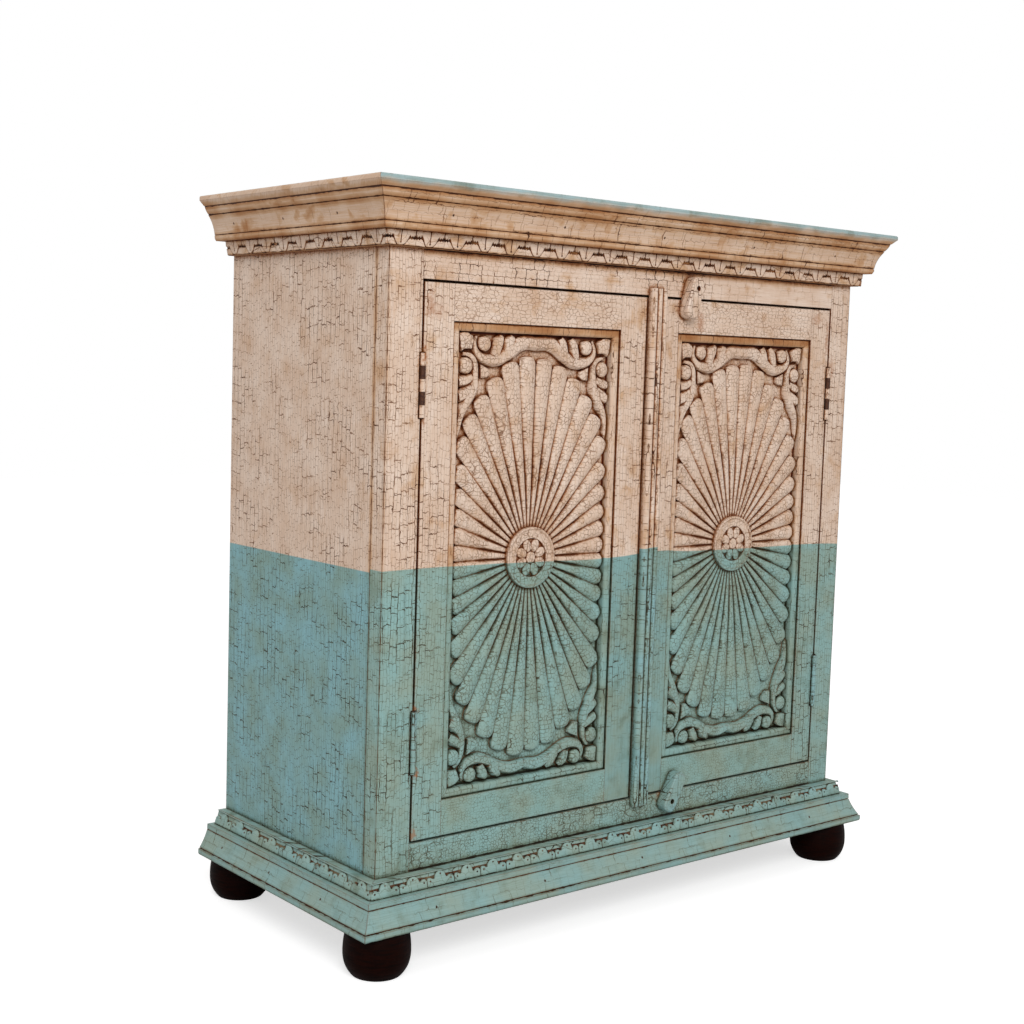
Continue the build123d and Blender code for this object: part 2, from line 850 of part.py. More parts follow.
def beading_strip(corner, inward, along, length):
    """A strip with a rounded nose that runs along one side of a door's opening, mitred at its ends."""
    depth = panel_ground_depth - bead_setback
    low = depth - bead_radius
    with BuildPart() as strip:
        with BuildSketch(Plane(origin=corner, x_dir=inward, z_dir=along)):
            with BuildLine():
                Polyline((0, low), (0, 0), (bead_width, 0), (bead_width, low))
                RadiusArc((bead_width, low), (bead_width - bead_radius, depth), -bead_radius)
                Line((bead_width - bead_radius, depth), (bead_radius, depth))
                RadiusArc((bead_radius, depth), (0, low), -bead_radius)
            make_face()
        extrude(amount=length)
        first_mitre = Plane(origin=corner, z_dir=along - inward).offset(mitre_gap / 2)
        second_mitre = Plane(origin=corner + along * length, z_dir=-along - inward).offset(mitre_gap / 2)
        split(bisect_by=first_mitre, keep=Keep.TOP)
        split(bisect_by=second_mitre, keep=Keep.TOP)
    return strip.part


for side_name, door in doors.items():
    side = door["side"]
    half_width = door["light_width"] / 2
    half_height = (light_top_z - light_bottom_z) / 2
    shift = door["sunburst_shift"]
    with BuildPart() as door_screw_holes:
        leaf_screws(door["hinge_x"] + side * leaf_thickness, -side, fixing_clearance)

    with BuildPart() as hinge_stile:
        block(
            (door["hinge_x"], door["light_hinge_x"]),
            (front_y, door_back_y),
            (door_bottom_z, door_top_z),
        )
        panel_pocket(door)
        for low, high, _ in door_rails.values():
            rail_tenons(door, low, high, fixing_clearance, Mode.SUBTRACT)
        hinge_notches(door, door["hinge_x"], -side)
        add(door_screw_holes.part, mode=Mode.SUBTRACT)
    save(hinge_stile, f"{side_name}_door_hinge_stile")

    with BuildPart() as meeting_stile:
        block(
            (door["meeting_x"], door["light_meeting_x"]),
            (front_y, door_back_y),
            (door_bottom_z, door_top_z),
        )
        panel_pocket(door)
        for low, high, _ in door_rails.values():
            rail_tenons(door, low, high, fixing_clearance, Mode.SUBTRACT)
    save(meeting_stile, f"{side_name}_door_meeting_stile")

    for rail_name, (low, high, _) in door_rails.items():
        with BuildPart() as door_rail:
            block((door["light_hinge_x"], door["light_meeting_x"]), (front_y, door_back_y), (low, high))
            rail_tenons(door, low, high, 0, Mode.ADD)
            panel_pocket(door)
        save(door_rail, f"{side_name}_door_{rail_name}_rail")

    with BuildPart() as panel:
        reach = panel_rabbet_width - panel_clearance
        block(
            (door["light_meeting_x"] - side * reach, door["light_hinge_x"] + side * reach),
            (panel_front_y, panel_back_y),
            (light_bottom_z - reach, light_top_z + reach),
        )
        ground = Plane(
            origin=(door["light_middle_x"], panel_front_y, (light_top_z + light_bottom_z) / 2),
            x_dir=(1, 0, 0),
            z_dir=(0, -1, 0),
        )
        hub = ground.shift_origin(ground.from_local_coords((shift, 0, 0)))
        clear_half_width = half_width - bead_width - carving_margin
        extrude(sunburst(hub, shift, clear_half_width), amount=petal_height)
        corners = corner_carving(ground, half_width - bead_width, half_height - bead_width)
        extrude(corners, amount=scroll_height)
        with BuildSketch(hub):
            Circle(rosette_radius)
        extrude(amount=rosette_height)
        with BuildSketch(hub.offset(rosette_height)):
            Circle(rosette_well_radius)
        extrude(amount=-rosette_well_depth, mode=Mode.SUBTRACT)
        well = hub.offset(rosette_height - rosette_well_depth)
        with BuildSketch(well):
            lobe_ring = (rosette_well_radius + rosette_boss_radius) / 2
            with PolarLocations(lobe_ring, rosette_lobe_count):
                Circle(rosette_lobe_radius)
        extrude(amount=rosette_lobe_height)
        with BuildSketch(well):
            Circle(rosette_boss_radius)
        extrude(amount=rosette_boss_height)
    save(panel, f"{side_name}_door_panel")

    strips = []
    for inward in (Vector(0, 0, -1), Vector(1, 0, 0), Vector(0, 0, 1), Vector(-1, 0, 0)):
        along = inward.cross(Vector(0, -1, 0))
        half_across = abs(inward.X) * half_width + abs(inward.Z) * half_height
        half_along = abs(along.X) * half_width + abs(along.Z) * half_height
        corner = ground.origin - inward * half_across - along * half_along
        strips.append(beading_strip(corner, inward, along, 2 * half_along))
    with BuildPart() as beading:
        add(strips)
    save(beading, f"{side_name}_door_beading")

    with BuildPart() as door_hinge_screws:
        leaf_screws(door["hinge_x"] + side * leaf_thickness, -side, 0)
    save(door_hinge_screws, f"{side_name}_door_hinge_screws")

# ---- astragal ----

reed_radius = astragal_width / reed_count / 2
astragal_foot = Plane(origin=(doors["right"]["meeting_x"], front_y, door_bottom_z - astragal_lap))
with BuildPart() as astragal:
    with BuildSketch(astragal_foot):
        with BuildLine():
            Polyline((0, -astragal_base), (0, 0), (astragal_width, 0), (astragal_width, -astragal_base))
            for reed in range(reed_count):
                left = reed * 2 * reed_radius
                ThreePointArc(
                    (left, -astragal_base),
                    (left + reed_radius, -astragal_base - reed_radius),
                    (left + 2 * reed_radius, -astragal_base),
                )
        make_face()
    extrude(amount=door_top_z - door_bottom_z + 2 * astragal_lap)
save(astragal, "astragal")

# ---- turn buttons ----

button_face_y = front_y - button_face_clearance
button_leans = {"upper": 180 + upper_button_lean, "lower": lower_button_lean}
for level, (x, z) in button_places.items():
    lean = radians(button_leans[level])
    face = Plane(origin=(x, button_face_y, z), x_dir=(cos(lean), 0, -sin(lean)), z_dir=(0, -1, 0))
    with BuildPart() as turn_button:
        with BuildSketch(face):
            with Locations((0, button_length / 2 - button_pivot_distance)):
                RectangleRounded(button_width, button_length, button_end_radius)
        extrude(amount=button_thickness)
        chamfer(turn_button.faces().sort_by(Axis.Y)[0].edges(), button_edge)
        with BuildSketch(face.offset(button_thickness)):
            Circle(button_sink_radius)
        extrude(amount=-button_sink_depth, mode=Mode.SUBTRACT)
        with BuildSketch(face):
            Circle(button_screw_radius + running_clearance)
        extrude(amount=button_thickness, mode=Mode.SUBTRACT)
    save(turn_button, f"{level}_turn_button")

with BuildPart() as button_screws:
    head_y = button_face_y - button_thickness + button_sink_depth - running_clearance
    for x, z in button_places.values():
        seat = Plane(origin=(x, head_y, z), x_dir=(1, 0, 0), z_dir=(0, 1, 0))
        with BuildSketch(seat):
            Circle(button_screw_radius)
        extrude(amount=front_y - head_y + button_screw_bite)
        with BuildSketch(seat):
            Circle(button_head_radius)
        extrude(amount=-button_head_height)
save(button_screws, "button_screws")
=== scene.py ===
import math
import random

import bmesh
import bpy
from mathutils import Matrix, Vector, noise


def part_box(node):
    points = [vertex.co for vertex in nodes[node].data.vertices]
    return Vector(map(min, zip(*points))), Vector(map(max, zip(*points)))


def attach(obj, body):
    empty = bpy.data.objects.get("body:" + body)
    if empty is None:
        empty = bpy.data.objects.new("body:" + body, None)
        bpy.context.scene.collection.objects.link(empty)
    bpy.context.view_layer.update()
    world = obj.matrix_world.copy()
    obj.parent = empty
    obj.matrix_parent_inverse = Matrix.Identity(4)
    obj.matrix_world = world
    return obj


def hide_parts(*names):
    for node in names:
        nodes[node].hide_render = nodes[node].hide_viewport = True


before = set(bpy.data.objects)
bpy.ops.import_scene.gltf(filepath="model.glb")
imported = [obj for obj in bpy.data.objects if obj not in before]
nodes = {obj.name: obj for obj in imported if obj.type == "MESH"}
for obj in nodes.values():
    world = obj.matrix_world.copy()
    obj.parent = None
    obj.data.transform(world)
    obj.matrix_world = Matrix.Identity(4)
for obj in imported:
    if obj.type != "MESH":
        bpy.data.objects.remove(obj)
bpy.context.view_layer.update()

# %% [markdown]
# # A carved cabinet in two coats of cracked paint
#
# The real piece is a two-door cabinet of old hardwood: cream paint above, turquoise below, both
# crackled, with brown wax rubbed into every hollow. The CAD model already holds the boards,
# mouldings, hinges and joints, so this lesson adds what CAD is poor at: the soft forms of the
# carving, and the finishes.

MM = 0.001
# The carved fields' sides and ends, and the height of their rosettes, in mm.
FIELD_SIDES, FIELD_LOW, FIELD_HIGH, HUB = (-305, -57, 69.5, 317.5), 208, 764, 486

# %% [markdown]
# ## Working as by hand
#
# Blender's operators act on whatever is selected, and loading leaves everything selected. These
# helpers clear the selection, join and place pieces, and give a finished piece its name and its
# cabinet part, with its object at the origin.

# %% Selecting, joining and copying
def clear_selection():
    """Object mode, with nothing selected."""
    if bpy.context.mode != "OBJECT":
        bpy.ops.object.mode_set(mode="OBJECT")
    bpy.ops.object.select_all(action="DESELECT")


def choose(*pieces):
    """Selects these pieces only, the last one active."""
    clear_selection()
    for piece in pieces:
        piece.select_set(True)
    bpy.context.view_layer.objects.active = pieces[-1]
    return pieces[-1]


def join(pieces):
    """One piece from several."""
    choose(*pieces)
    bpy.ops.object.join()
    return bpy.context.object


def copy(piece, place=Matrix.Identity(4)):
    """A copy with a mesh of its own, moved by a matrix."""
    twin = piece.copy()
    twin.data = piece.data.copy()
    twin.data.transform(place)
    bpy.context.collection.objects.link(twin)
    return twin


clear_selection()
print(len(nodes), "parts loaded, none selected")

# %% Finishing a piece
def finish_piece(piece, name, body, replaced, smooth_under=40):
    """Names the piece, puts its place into its mesh, and hangs it on its part of the cabinet."""
    choose(piece)
    bpy.ops.object.transform_apply(location=True, rotation=True, scale=True)
    bpy.ops.object.shade_smooth_by_angle(angle=math.radians(smooth_under))
    piece.name = piece.data.name = name
    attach(piece, body)
    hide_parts(*replaced)
    triangles = sum(len(face.vertices) - 2 for face in piece.data.polygons)
    print(name, "stands for", ", ".join(replaced), "with", triangles, "triangles")
    return piece


# %% [markdown]
# ## Camera
#
# The cabinet is seen from its front left corner, a little below the height of its top, so the
# top board shows only its edges. The lens is a short telephoto, which keeps the uprights calm.

# %% Camera
bpy.ops.object.camera_add(location=(-1.4353, -1.6473, 0.7231))
camera = bpy.context.object
to_right = Vector((0.77413, -0.63226, 0.03116))
to_front = Vector((0.63209, 0.76936, -0.09245))
to_top = to_right.cross(to_front)
camera.rotation_mode = "QUATERNION"
camera.rotation_quaternion = Matrix((to_right, to_top, -to_front)).transposed().to_quaternion()
camera.data.sensor_width, camera.data.lens = 36, 54.87
bpy.context.scene.camera = camera
bpy.context.scene.view_settings.view_transform = "Standard"
print("camera", round(math.degrees(camera.data.angle), 1), "degrees wide")

# %% [markdown]
# ## Colours and nodes
#
# Hex colours are written for a screen, and shaders work in linear light, so one function turns
# one into the other. A second adds a shader node with its settings and links, which is all that
# a material needs, and two more do so for sums and for mixed colours.

# %% Colour and node helpers
def colour(code):
    """A hex colour as linear light."""
    parts = [int(code[i:i + 2], 16) / 255 for i in (1, 3, 5)]
    return (*[c / 12.92 if c <= 0.04045 else ((c + 0.055) / 1.055) ** 2.4 for c in parts], 1)


def add(tree, kind, inputs={}, out=0, **settings):
    """Adds a shader node, fills or links its inputs, and returns one of its outputs."""
    made = tree.nodes.new("ShaderNode" + kind)
    for key, value in settings.items():
        setattr(made, key, value)
    for key, value in inputs.items():
        if isinstance(value, bpy.types.NodeSocket):
            tree.links.new(value, made.inputs[key])
        else:
            made.inputs[key].default_value = value
    return made.outputs[out] if made.outputs else None


def calc(tree, operation, *inputs, **settings):
    """Adds a math node."""
    return add(tree, "Math", dict(enumerate(inputs)), operation=operation, **settings)


def blend(tree, share, first, second, **settings):
    """Adds a node that mixes two colours."""
    return add(tree, "Mix", {0: share, 6: first, 7: second}, out=2, data_type="RGBA", **settings)


def new_material(name):
    """An empty node material."""
    material = bpy.data.materials.new(name)
    material.use_nodes = True
    material.node_tree.nodes.clear()
    return material, material.node_tree


print("cream", [round(c, 3) for c in colour("#E2CDBD")])

# %% [markdown]
# ## The paint
#
# Crackle paint is a brittle top coat over a slow base: the top coat tears into small plates. On
# carving and on narrow rails they are polygons, which a Voronoi texture's distance to its cell
# edges draws. On other boards they follow the grain, in columns or in rows, which two triangle
# waves draw: one runs across the columns, the other along them, shifted in each column by a
# random share.
# Three things then age the paint: fine streaks of the grain, brown wax where the ambient
# occlusion node finds a hollow, and rubbed edges where the bevel node's rounded normal leaves the
# flat one. Wax is a glaze and not a colour of its own: a ramp of powers gives what a film of it
# lets through, and the paint is multiplied by that. The two coats meet at a masked line that
# wavers by a few millimetres, so a drawn curve gives its height.

# %% Crackled paint in two colours
def meeting_line(tree, x, z, height):
    """1 below the masked line between the coats and 0 above it; height is its height in mm."""
    share = calc(tree, "MULTIPLY_ADD", x, 1 / 0.84, 0.5)
    drawn = add(tree, "FloatCurve", {"Value": share})
    curve = drawn.node.mapping.curves[0]
    offsets = ((0, 1), (0.11, 2), (0.27, 1), (0.43, -1.5), (0.5, 1), (0.545, 3), (0.63, 0),
               (0.77, -1.5), (0.89, -2), (1, -6))
    for index, (at, rise) in enumerate(offsets):
        if index in (0, len(offsets) - 1):
            curve.points[-1 if index else 0].location = (at, 0.5 + rise / 20)
        else:
            curve.points.new(at, 0.5 + rise / 20)
    drawn.node.mapping.update()
    level = calc(tree, "MULTIPLY_ADD", drawn, 0.02, height * MM - 0.01)
    below = calc(tree, "SUBTRACT", level, z)
    return add(tree, "MapRange", {0: below, 1: -0.0005, 2: 0.0005})


def polygons(tree, flat, wide, tall, thick, seed):
    """Cracks thick mm wide round rough polygons wide by tall mm."""
    laid = add(tree, "Mapping", {"Vector": flat, "Location": (seed, 3 * seed, 0),
                                 "Scale": Vector((1 / wide, 1 / tall, 0)) / MM})
    gap = add(tree, "TexVoronoi", {"Vector": laid, "Scale": 1, "Randomness": 0.8},
              feature="DISTANCE_TO_EDGE", voronoi_dimensions="2D")
    thick /= min(wide, tall)
    return add(tree, "MapRange", {0: gap, 1: 0.15 * thick, 2: 0.8 * thick, 3: 1, 4: 0})


def plates(tree, flat, wide, tall, thick, seed, axes="XY"):
    """Cracks thick mm wide round plates wide by tall mm that stand in columns, or lie in rows."""
    across, along = (add(tree, "SeparateXYZ", {0: flat}, out=axis) for axis in axes)
    if axes == "YX":
        wide, tall = tall, wide
    column = calc(tree, "MULTIPLY_ADD", across, 1 / wide / MM, seed)
    number = calc(tree, "FLOOR", column)
    shift = add(tree, "TexWhiteNoise", {"W": number}, noise_dimensions="1D")
    row = calc(tree, "MULTIPLY_ADD", along, 1 / tall / MM, shift)
    distances = []
    for count, size in ((column, 1.5 * wide), (row, tall)):
        wave = calc(tree, "PINGPONG", count, 0.5)
        distances.append(calc(tree, "MULTIPLY", wave, size))
    gap = calc(tree, "MINIMUM", distances[0], distances[1])
    return add(tree, "MapRange", {0: gap, 1: 0.15 * thick, 2: 0.8 * thick, 3: 1, 4: 0})


def glaze(tree, thickness, absorbs):
    """What a layer of wax lets through, for a thickness of 0 to 1: each colour fades as a power."""
    ramp = add(tree, "ValToRGB", {"Fac": thickness})
    stops = ramp.node.color_ramp.elements
    for share in (0.1, 0.2, 0.35, 0.5, 0.7):
        stops.new(share)
    for stop in stops:
        stop.color = (*[math.exp(-3.4 * stop.position * strength) for strength in absorbs], 1)
    return ramp


def wood_grain(tree, place, run):
    """Colour and pores of planed hardwood: rings 9 mm apart, drawn out 20 times along run."""
    scale = Vector([1 / (180 if axis == run else 9) / MM for axis in "xyz"])
    laid = add(tree, "Mapping", {"Vector": place, "Scale": scale})
    rings = add(tree, "TexNoise", {"Vector": laid, "Scale": 1, "Detail": 6, "Distortion": 0.6})
    rings = add(tree, "MapRange", {0: rings, 1: 0.35, 2: 0.68})
    pores = add(tree, "Mapping", {"Vector": place, "Scale": scale * 9})
    pores = add(tree, "TexNoise", {"Vector": pores, "Scale": 1, "Detail": 2})
    pores = add(tree, "MapRange", {0: pores, 1: 0.52, 2: 0.72, 3: 0, 4: 0.6})
    wood = blend(tree, rings, colour("#8A6544"), colour("#6B4A30"))
    wood = blend(tree, pores, wood, colour("#44301F"))
    return wood, pores


def cracked_paint(name, wide, tall, layout="columns", line=481, wax=1.0, reach=8, wash=0.45,
                  soak=0, cracks=1.0, broad=1.0, rub=0.8, blues=("#8DB1AE", "#90A599"), grooves_and_shade=(),
                  calm=None, stains=(), upright=False, field=False, top=False, bare=0):
    """Old crackle paint with plates wide by tall mm, in columns, rows or polygons; the coats meet
    at line mm. Wax is how much fills hollows, as deep as reach mm, wash and soak how much lies in
    patches and all over, and rub how bare the edges are. Cracks and broad are how strong the fine
    and the wide cracks are, and blues the lower coat's two tones. Quirks are channels full of wax,
    some of them under an overhang: a height, a half width, how brown their sides are, and how far
    that reaches; under an overhang that brown is painted shade as well as wax. Calm is an axis
    and where along it the cracks die out. Stains are spots of rust: x, z, half width, half height
    and strength. A board is bare wood less than bare mm from the middle of the cabinet."""
    material, tree = new_material(name)
    place = add(tree, "TexCoord", out="Object")
    x, y, z = (add(tree, "SeparateXYZ", {0: place}, out=axis) for axis in "XYZ")

    # The cracks are drawn on the unrolled front and sides: along them, and up. The top is its own.
    facing = add(tree, "NewGeometry", out="Normal")
    across = calc(tree, "ABSOLUTE", add(tree, "SeparateXYZ", {0: facing}, out="X"))
    run = calc(tree, "ADD", x, y)
    if layout == "rows":
        sideways = calc(tree, "GREATER_THAN", across, 0.5)
        run = add(tree, "Mix", {0: sideways, 2: x, 3: y})
    rise = calc(tree, "MULTIPLY_ADD", y, 0.6, z) if top else z
    flat = add(tree, "CombineXYZ", {"X": run, "Y": rise})
    lean = add(tree, "Mapping", {"Vector": flat, "Scale": Vector((1 / 16, 1 / 70, 0)) / MM})
    lean = add(tree, "TexNoise", {"Vector": lean, "Scale": 1, "Detail": 2}, noise_dimensions="2D")
    jog = add(tree, "TexNoise", {"Vector": flat, "Scale": 1 / (7 * MM), "Detail": 5}, out="Color",
              noise_dimensions="2D")
    lean = add(tree, "CombineXYZ", {"X": lean})
    bent = add(tree, "VectorMath", {0: lean, 1: (0.008, 0, 0), 2: flat}, operation="MULTIPLY_ADD")
    wander = {"columns": (0.003, 0.006, 0), "rows": (0.006, 0.006, 0),
              "polygons": (0.004, 0.004, 0)}
    bent = add(tree, "VectorMath", {0: jog, 1: wander[layout], 2: bent}, operation="MULTIPLY_ADD")
    if layout == "polygons":
        fine = polygons(tree, bent, wide, tall, 0.45, 0.3)
        coarse = polygons(tree, bent, 2.3 * wide, 2.1 * tall, 1, 0.8)
    else:
        axes = "XY" if layout == "columns" else "YX"
        fine = plates(tree, bent, wide, tall, 0.48, 0.3, axes)
        coarse = plates(tree, bent, 2.3 * wide, 2.1 * tall, 0.9, 0.8, axes)

    # Cracks fade in and out over 11 mm, and wide ones keep to patches of 50 mm.
    drift = add(tree, "TexNoise", {"Vector": place, "Scale": 1 / (11 * MM), "Detail": 3})
    fading = add(tree, "MapRange", {0: drift, 1: 0.36, 2: 0.56, 3: 0.15 * cracks, 4: 0.95 * cracks})
    broken = add(tree, "MapRange", {0: drift, 1: 0.38, 2: 0.54, 3: 0.25, 4: 1})
    patches = add(tree, "TexNoise", {"Vector": place, "Scale": 1 / (50 * MM), "Detail": 4})
    patches = add(tree, "MapRange", {0: patches, 1: 0.45, 2: 0.6, 3: 0, 4: broad})
    crack = calc(tree, "MULTIPLY", fine, fading)
    gap = calc(tree, "MULTIPLY", coarse, patches)
    gap = calc(tree, "MULTIPLY", gap, broken)
    quiet = None
    if calm:
        axis, start, end = calm
        quiet = add(tree, "MapRange", {0: {"x": x, "z": z}[axis], 1: start * MM, 2: end * MM,
                                       3: 1, 4: 0.12})
    if top:
        level = add(tree, "SeparateXYZ", {0: facing}, out="Z")
        quiet = add(tree, "MapRange", {0: level, 1: 0.6, 2: 0.9, 3: 0.15, 4: 1})
    if quiet:
        crack = calc(tree, "MULTIPLY", crack, quiet)
        gap = calc(tree, "MULTIPLY", gap, quiet)

    # Grain shows through as streaks 1 mm apart and 40 mm long.
    grain = Vector((1 / 1.1, 1 / 40, 0) if tall > wide else (1 / 40, 1 / 1.1, 0))
    streaks = add(tree, "Mapping", {"Vector": flat, "Scale": grain / MM})
    streaks = add(tree, "TexNoise", {"Vector": streaks, "Scale": 1, "Detail": 2},
                  noise_dimensions="2D")
    streaks = add(tree, "MapRange", {0: streaks, 1: 0.38, 2: 0.7, 3: 0, 4: 0.17})

    # Both coats drift between two tones.
    clouds = add(tree, "TexNoise", {"Vector": place, "Scale": 1 / (45 * MM), "Detail": 4})
    clouds = add(tree, "MapRange", {0: clouds, 1: 0.36, 2: 0.64})
    cream = blend(tree, clouds, colour("#E2CDBD"), colour("#D8BEAA"))
    turquoise = blend(tree, clouds, colour(blues[0]), colour(blues[1]))
    if top:
        # The top board is turquoise above, fading out down its front edge, and cream on its ends.
        edge = add(tree, "TexNoise", {"Vector": place, "Scale": 1 / (25 * MM), "Detail": 5})
        edge = calc(tree, "MULTIPLY_ADD", edge, 0.007, z)
        upper = add(tree, "MapRange", {0: edge, 1: 0.9247, 2: 0.9312})
        end = add(tree, "MapRange", {0: across, 1: 0.3, 2: 0.6, 3: 1, 4: 0})
        lower_coat = calc(tree, "MULTIPLY", upper, end)
    else:
        lower_coat = meeting_line(tree, x, z, line)
    paint = blend(tree, lower_coat, cream, turquoise)

    # Thin washes of wax in patches of 32 mm.
    tea = add(tree, "TexNoise", {"Vector": place, "Scale": 1 / (32 * MM), "Detail": 5,
                                 "Distortion": 0.4})
    tea = add(tree, "MapRange", {0: tea, 1: 0.54, 2: 0.76, 3: soak, 4: max(wash, soak)})
    worn = add(tree, "MapRange", {0: clouds, 3: 0.5, 4: 1})
    groove_lines_and_shade = [(z, 0.95, *groove_and_shade) for groove_and_shade in grooves_and_shade]
    if upright:
        # The side board meets the face frame 25 mm behind the corner, in a stained joint, and the
        # corner itself is rubbed.
        corner = calc(tree, "MULTIPLY_ADD", calc(tree, "ABSOLUTE", x), -1, y)
        away = calc(tree, "LESS_THAN", across, 0.5)
        joint = calc(tree, "ADD", away, y)
        groove_lines_and_shade += [(joint, 0.5, -141.5, 0.7, 0.6, 6), (corner, 0.6, -577.5, 0.7, 0.3, 4)]
    # Each line browns its sides out to spread mm: wax, and where a line runs under an overhang,
    # painted shade.
    for axis, dark, level, half, brown_and_shade, spread in groove_lines_and_shade:
        off = calc(tree, "ABSOLUTE", calc(tree, "ADD", axis, -level * MM))
        halo_wax_and_shade = add(tree, "MapRange", {0: off, 1: 0, 2: spread * MM, 3: brown_and_shade, 4: 0},
                   interpolation_type="SMOOTHSTEP")
        halo_wax_and_shade = calc(tree, "MULTIPLY", halo_wax_and_shade, worn)
        tea = calc(tree, "MAXIMUM", tea, halo_wax_and_shade)
        if not half:
            continue
        off = calc(tree, "MULTIPLY_ADD", drift, -3 * MM, off)
        core = add(tree, "MapRange", {0: off, 1: (0.6 * half - 1.5) * MM, 2: (half - 1.5) * MM,
                                      3: dark, 4: 0})
        gap = calc(tree, "MAXIMUM", gap, core)
    lines = calc(tree, "MULTIPLY", crack, 0.32)
    deep = calc(tree, "MULTIPLY", gap, 0.72)
    lines = calc(tree, "MAXIMUM", lines, deep)
    crack = calc(tree, "MAXIMUM", crack, gap)

    # Wax lies thick in hollows, with ragged borders.
    grime = add(tree, "TexNoise", {"Vector": place, "Scale": 1 / (4 * MM), "Detail": 3})
    openness = add(tree, "AmbientOcclusion", {"Distance": reach * MM}, out="AO", samples=6)
    openness = calc(tree, "MULTIPLY_ADD", grime, 0.5, openness)
    hollow = add(tree, "MapRange", {0: openness, 1: 1.08, 2: 0.5, 3: 0, 4: 0.85 * wax})
    if field:
        # The carved fields' ground is black for 3 mm along their sides: wax, and painted shade
        # where the beading's inner wall shades the ground.
        nearest = None
        for axis, sides in ((x, FIELD_SIDES), (z, (FIELD_LOW, FIELD_HIGH))):
            for side in sides:
                off = calc(tree, "ABSOLUTE", calc(tree, "ADD", axis, -side * MM))
                nearest = off if nearest is None else calc(tree, "MINIMUM", nearest, off)
        border_wax_and_shade = add(tree, "MapRange", {0: nearest, 1: 2 * MM, 2: 4 * MM, 3: 0.95, 4: 0})
        ground = add(tree, "MapRange", {0: y, 1: -0.1605, 2: -0.157})
        border_wax_and_shade = calc(tree, "MULTIPLY", border_wax_and_shade, ground)
        front = calc(tree, "LESS_THAN", y, -0.151)
        border_wax_and_shade = calc(tree, "MULTIPLY", border_wax_and_shade, front)
        hollow = calc(tree, "MAXIMUM", hollow, border_wax_and_shade)
    film = calc(tree, "MULTIPLY_ADD", tea, 0.22, hollow)
    film = calc(tree, "MULTIPLY_ADD", streaks, 0.25, film)

    # Wax is a glaze: on cream it turns the light golden brown, on turquoise a green grey. In the
    # cracks it is nearly black.
    tint = blend(tree, lower_coat, glaze(tree, film, (0.74, 1.4, 2.3)),
                 glaze(tree, film, (0.92, 1.05, 1.32)))
    for layer in (tint, glaze(tree, lines, (1, 1.3, 1.55))):
        paint = blend(tree, 1, paint, layer, blend_type="MULTIPLY")

    # Spots of rust, and edges rubbed through to the wood, 1.6 mm wide.
    rounded = add(tree, "Bevel", {"Radius": 1.6 * MM}, samples=4)
    bend = add(tree, "VectorMath", {0: rounded, 1: facing}, out="Value", operation="DOT_PRODUCT")
    rubbed = add(tree, "MapRange", {0: bend, 1: 0.99, 2: 0.86, 3: 0, 4: rub})
    rubbed = calc(tree, "MULTIPLY", rubbed, worn)
    rust = None
    for middle_x, middle_z, half_wide, half_tall, strength in stains:
        spot = add(tree, "Mapping", {"Vector": place,
                                     "Location": (-middle_x / half_wide, 0, -middle_z / half_tall),
                                     "Scale": Vector((1 / half_wide, 0, 1 / half_tall)) / MM})
        spot = add(tree, "VectorMath", {0: spot}, out="Value", operation="LENGTH")
        spot = calc(tree, "MULTIPLY_ADD", grime, -2.6, spot)
        spot = add(tree, "MapRange", {0: spot, 1: -1.1, 2: -0.3, 3: strength, 4: 0})
        rust = spot if rust is None else calc(tree, "MAXIMUM", rust, spot)
    if rust:
        paint = blend(tree, rust, paint, colour("#9C5C2A"))
    paint = blend(tree, rubbed, paint, colour("#7C4620"))

    if bare:
        inside = calc(tree, "LESS_THAN", calc(tree, "ABSOLUTE", x), bare * MM)
        wood, pores = wood_grain(tree, place, "z")
        paint = blend(tree, inside, paint, wood)
        crack = add(tree, "Mix", {0: inside, 2: crack, 3: pores})
    relief = calc(tree, "SUBTRACT", 1, crack)
    bump = add(tree, "Bump", {"Height": relief, "Strength": 0.5, "Distance": 0.5 * MM,
                              "Normal": rounded})
    gloss = add(tree, "MapRange", {0: clouds, 3: 0.5, 4: 0.66})
    shader = add(tree, "BsdfPrincipled", {"Base Color": paint, "Roughness": gloss, "Normal": bump,
                                          "IOR": 1.48, "Specular IOR Level": 0.2})
    add(tree, "OutputMaterial", {0: shader})
    print(name, "has", len(tree.nodes), "nodes")
    return material


hinge_stains = ((-350, 792, 8, 20, 0.5), (-338, 784, 8, 12, 0.3), (-359, 735, 5, 14, 0.9),
                (-357, 655, 4, 7, 0.8), (342, 804, 14, 10, 0.4), (364, 775, 6, 26, 0.5),
                (378, 735, 6, 18, 0.4), (-356, 235, 5, 8, 0.8), (-359, 312, 5, 8, 0.7),
                (-357, 160, 6, 8, 0.6))
post_paint = cracked_paint("crackle_paint_upright", 4.6, 9.5, wash=0.4, stains=hinge_stains,
                           upright=True)
meeting_paint = cracked_paint("crackle_paint_meeting_stile", 4.6, 9.5, wash=0.5,
                              calm=("z", 340, 240), upright=True, blues=("#84A9A8", "#889D91"))
fresh_paint = cracked_paint("crackle_paint_touched_up", 4.6, 9.5, line=488, wash=0.5,
                            blues=("#88AFB2", "#8DA79E"), upright=True)
side_paint = cracked_paint("crackle_paint_side_board", 4.2, 11, line=477, wash=0.2, upright=True,
                           blues=("#86B2B9", "#84A29C"), bare=400)
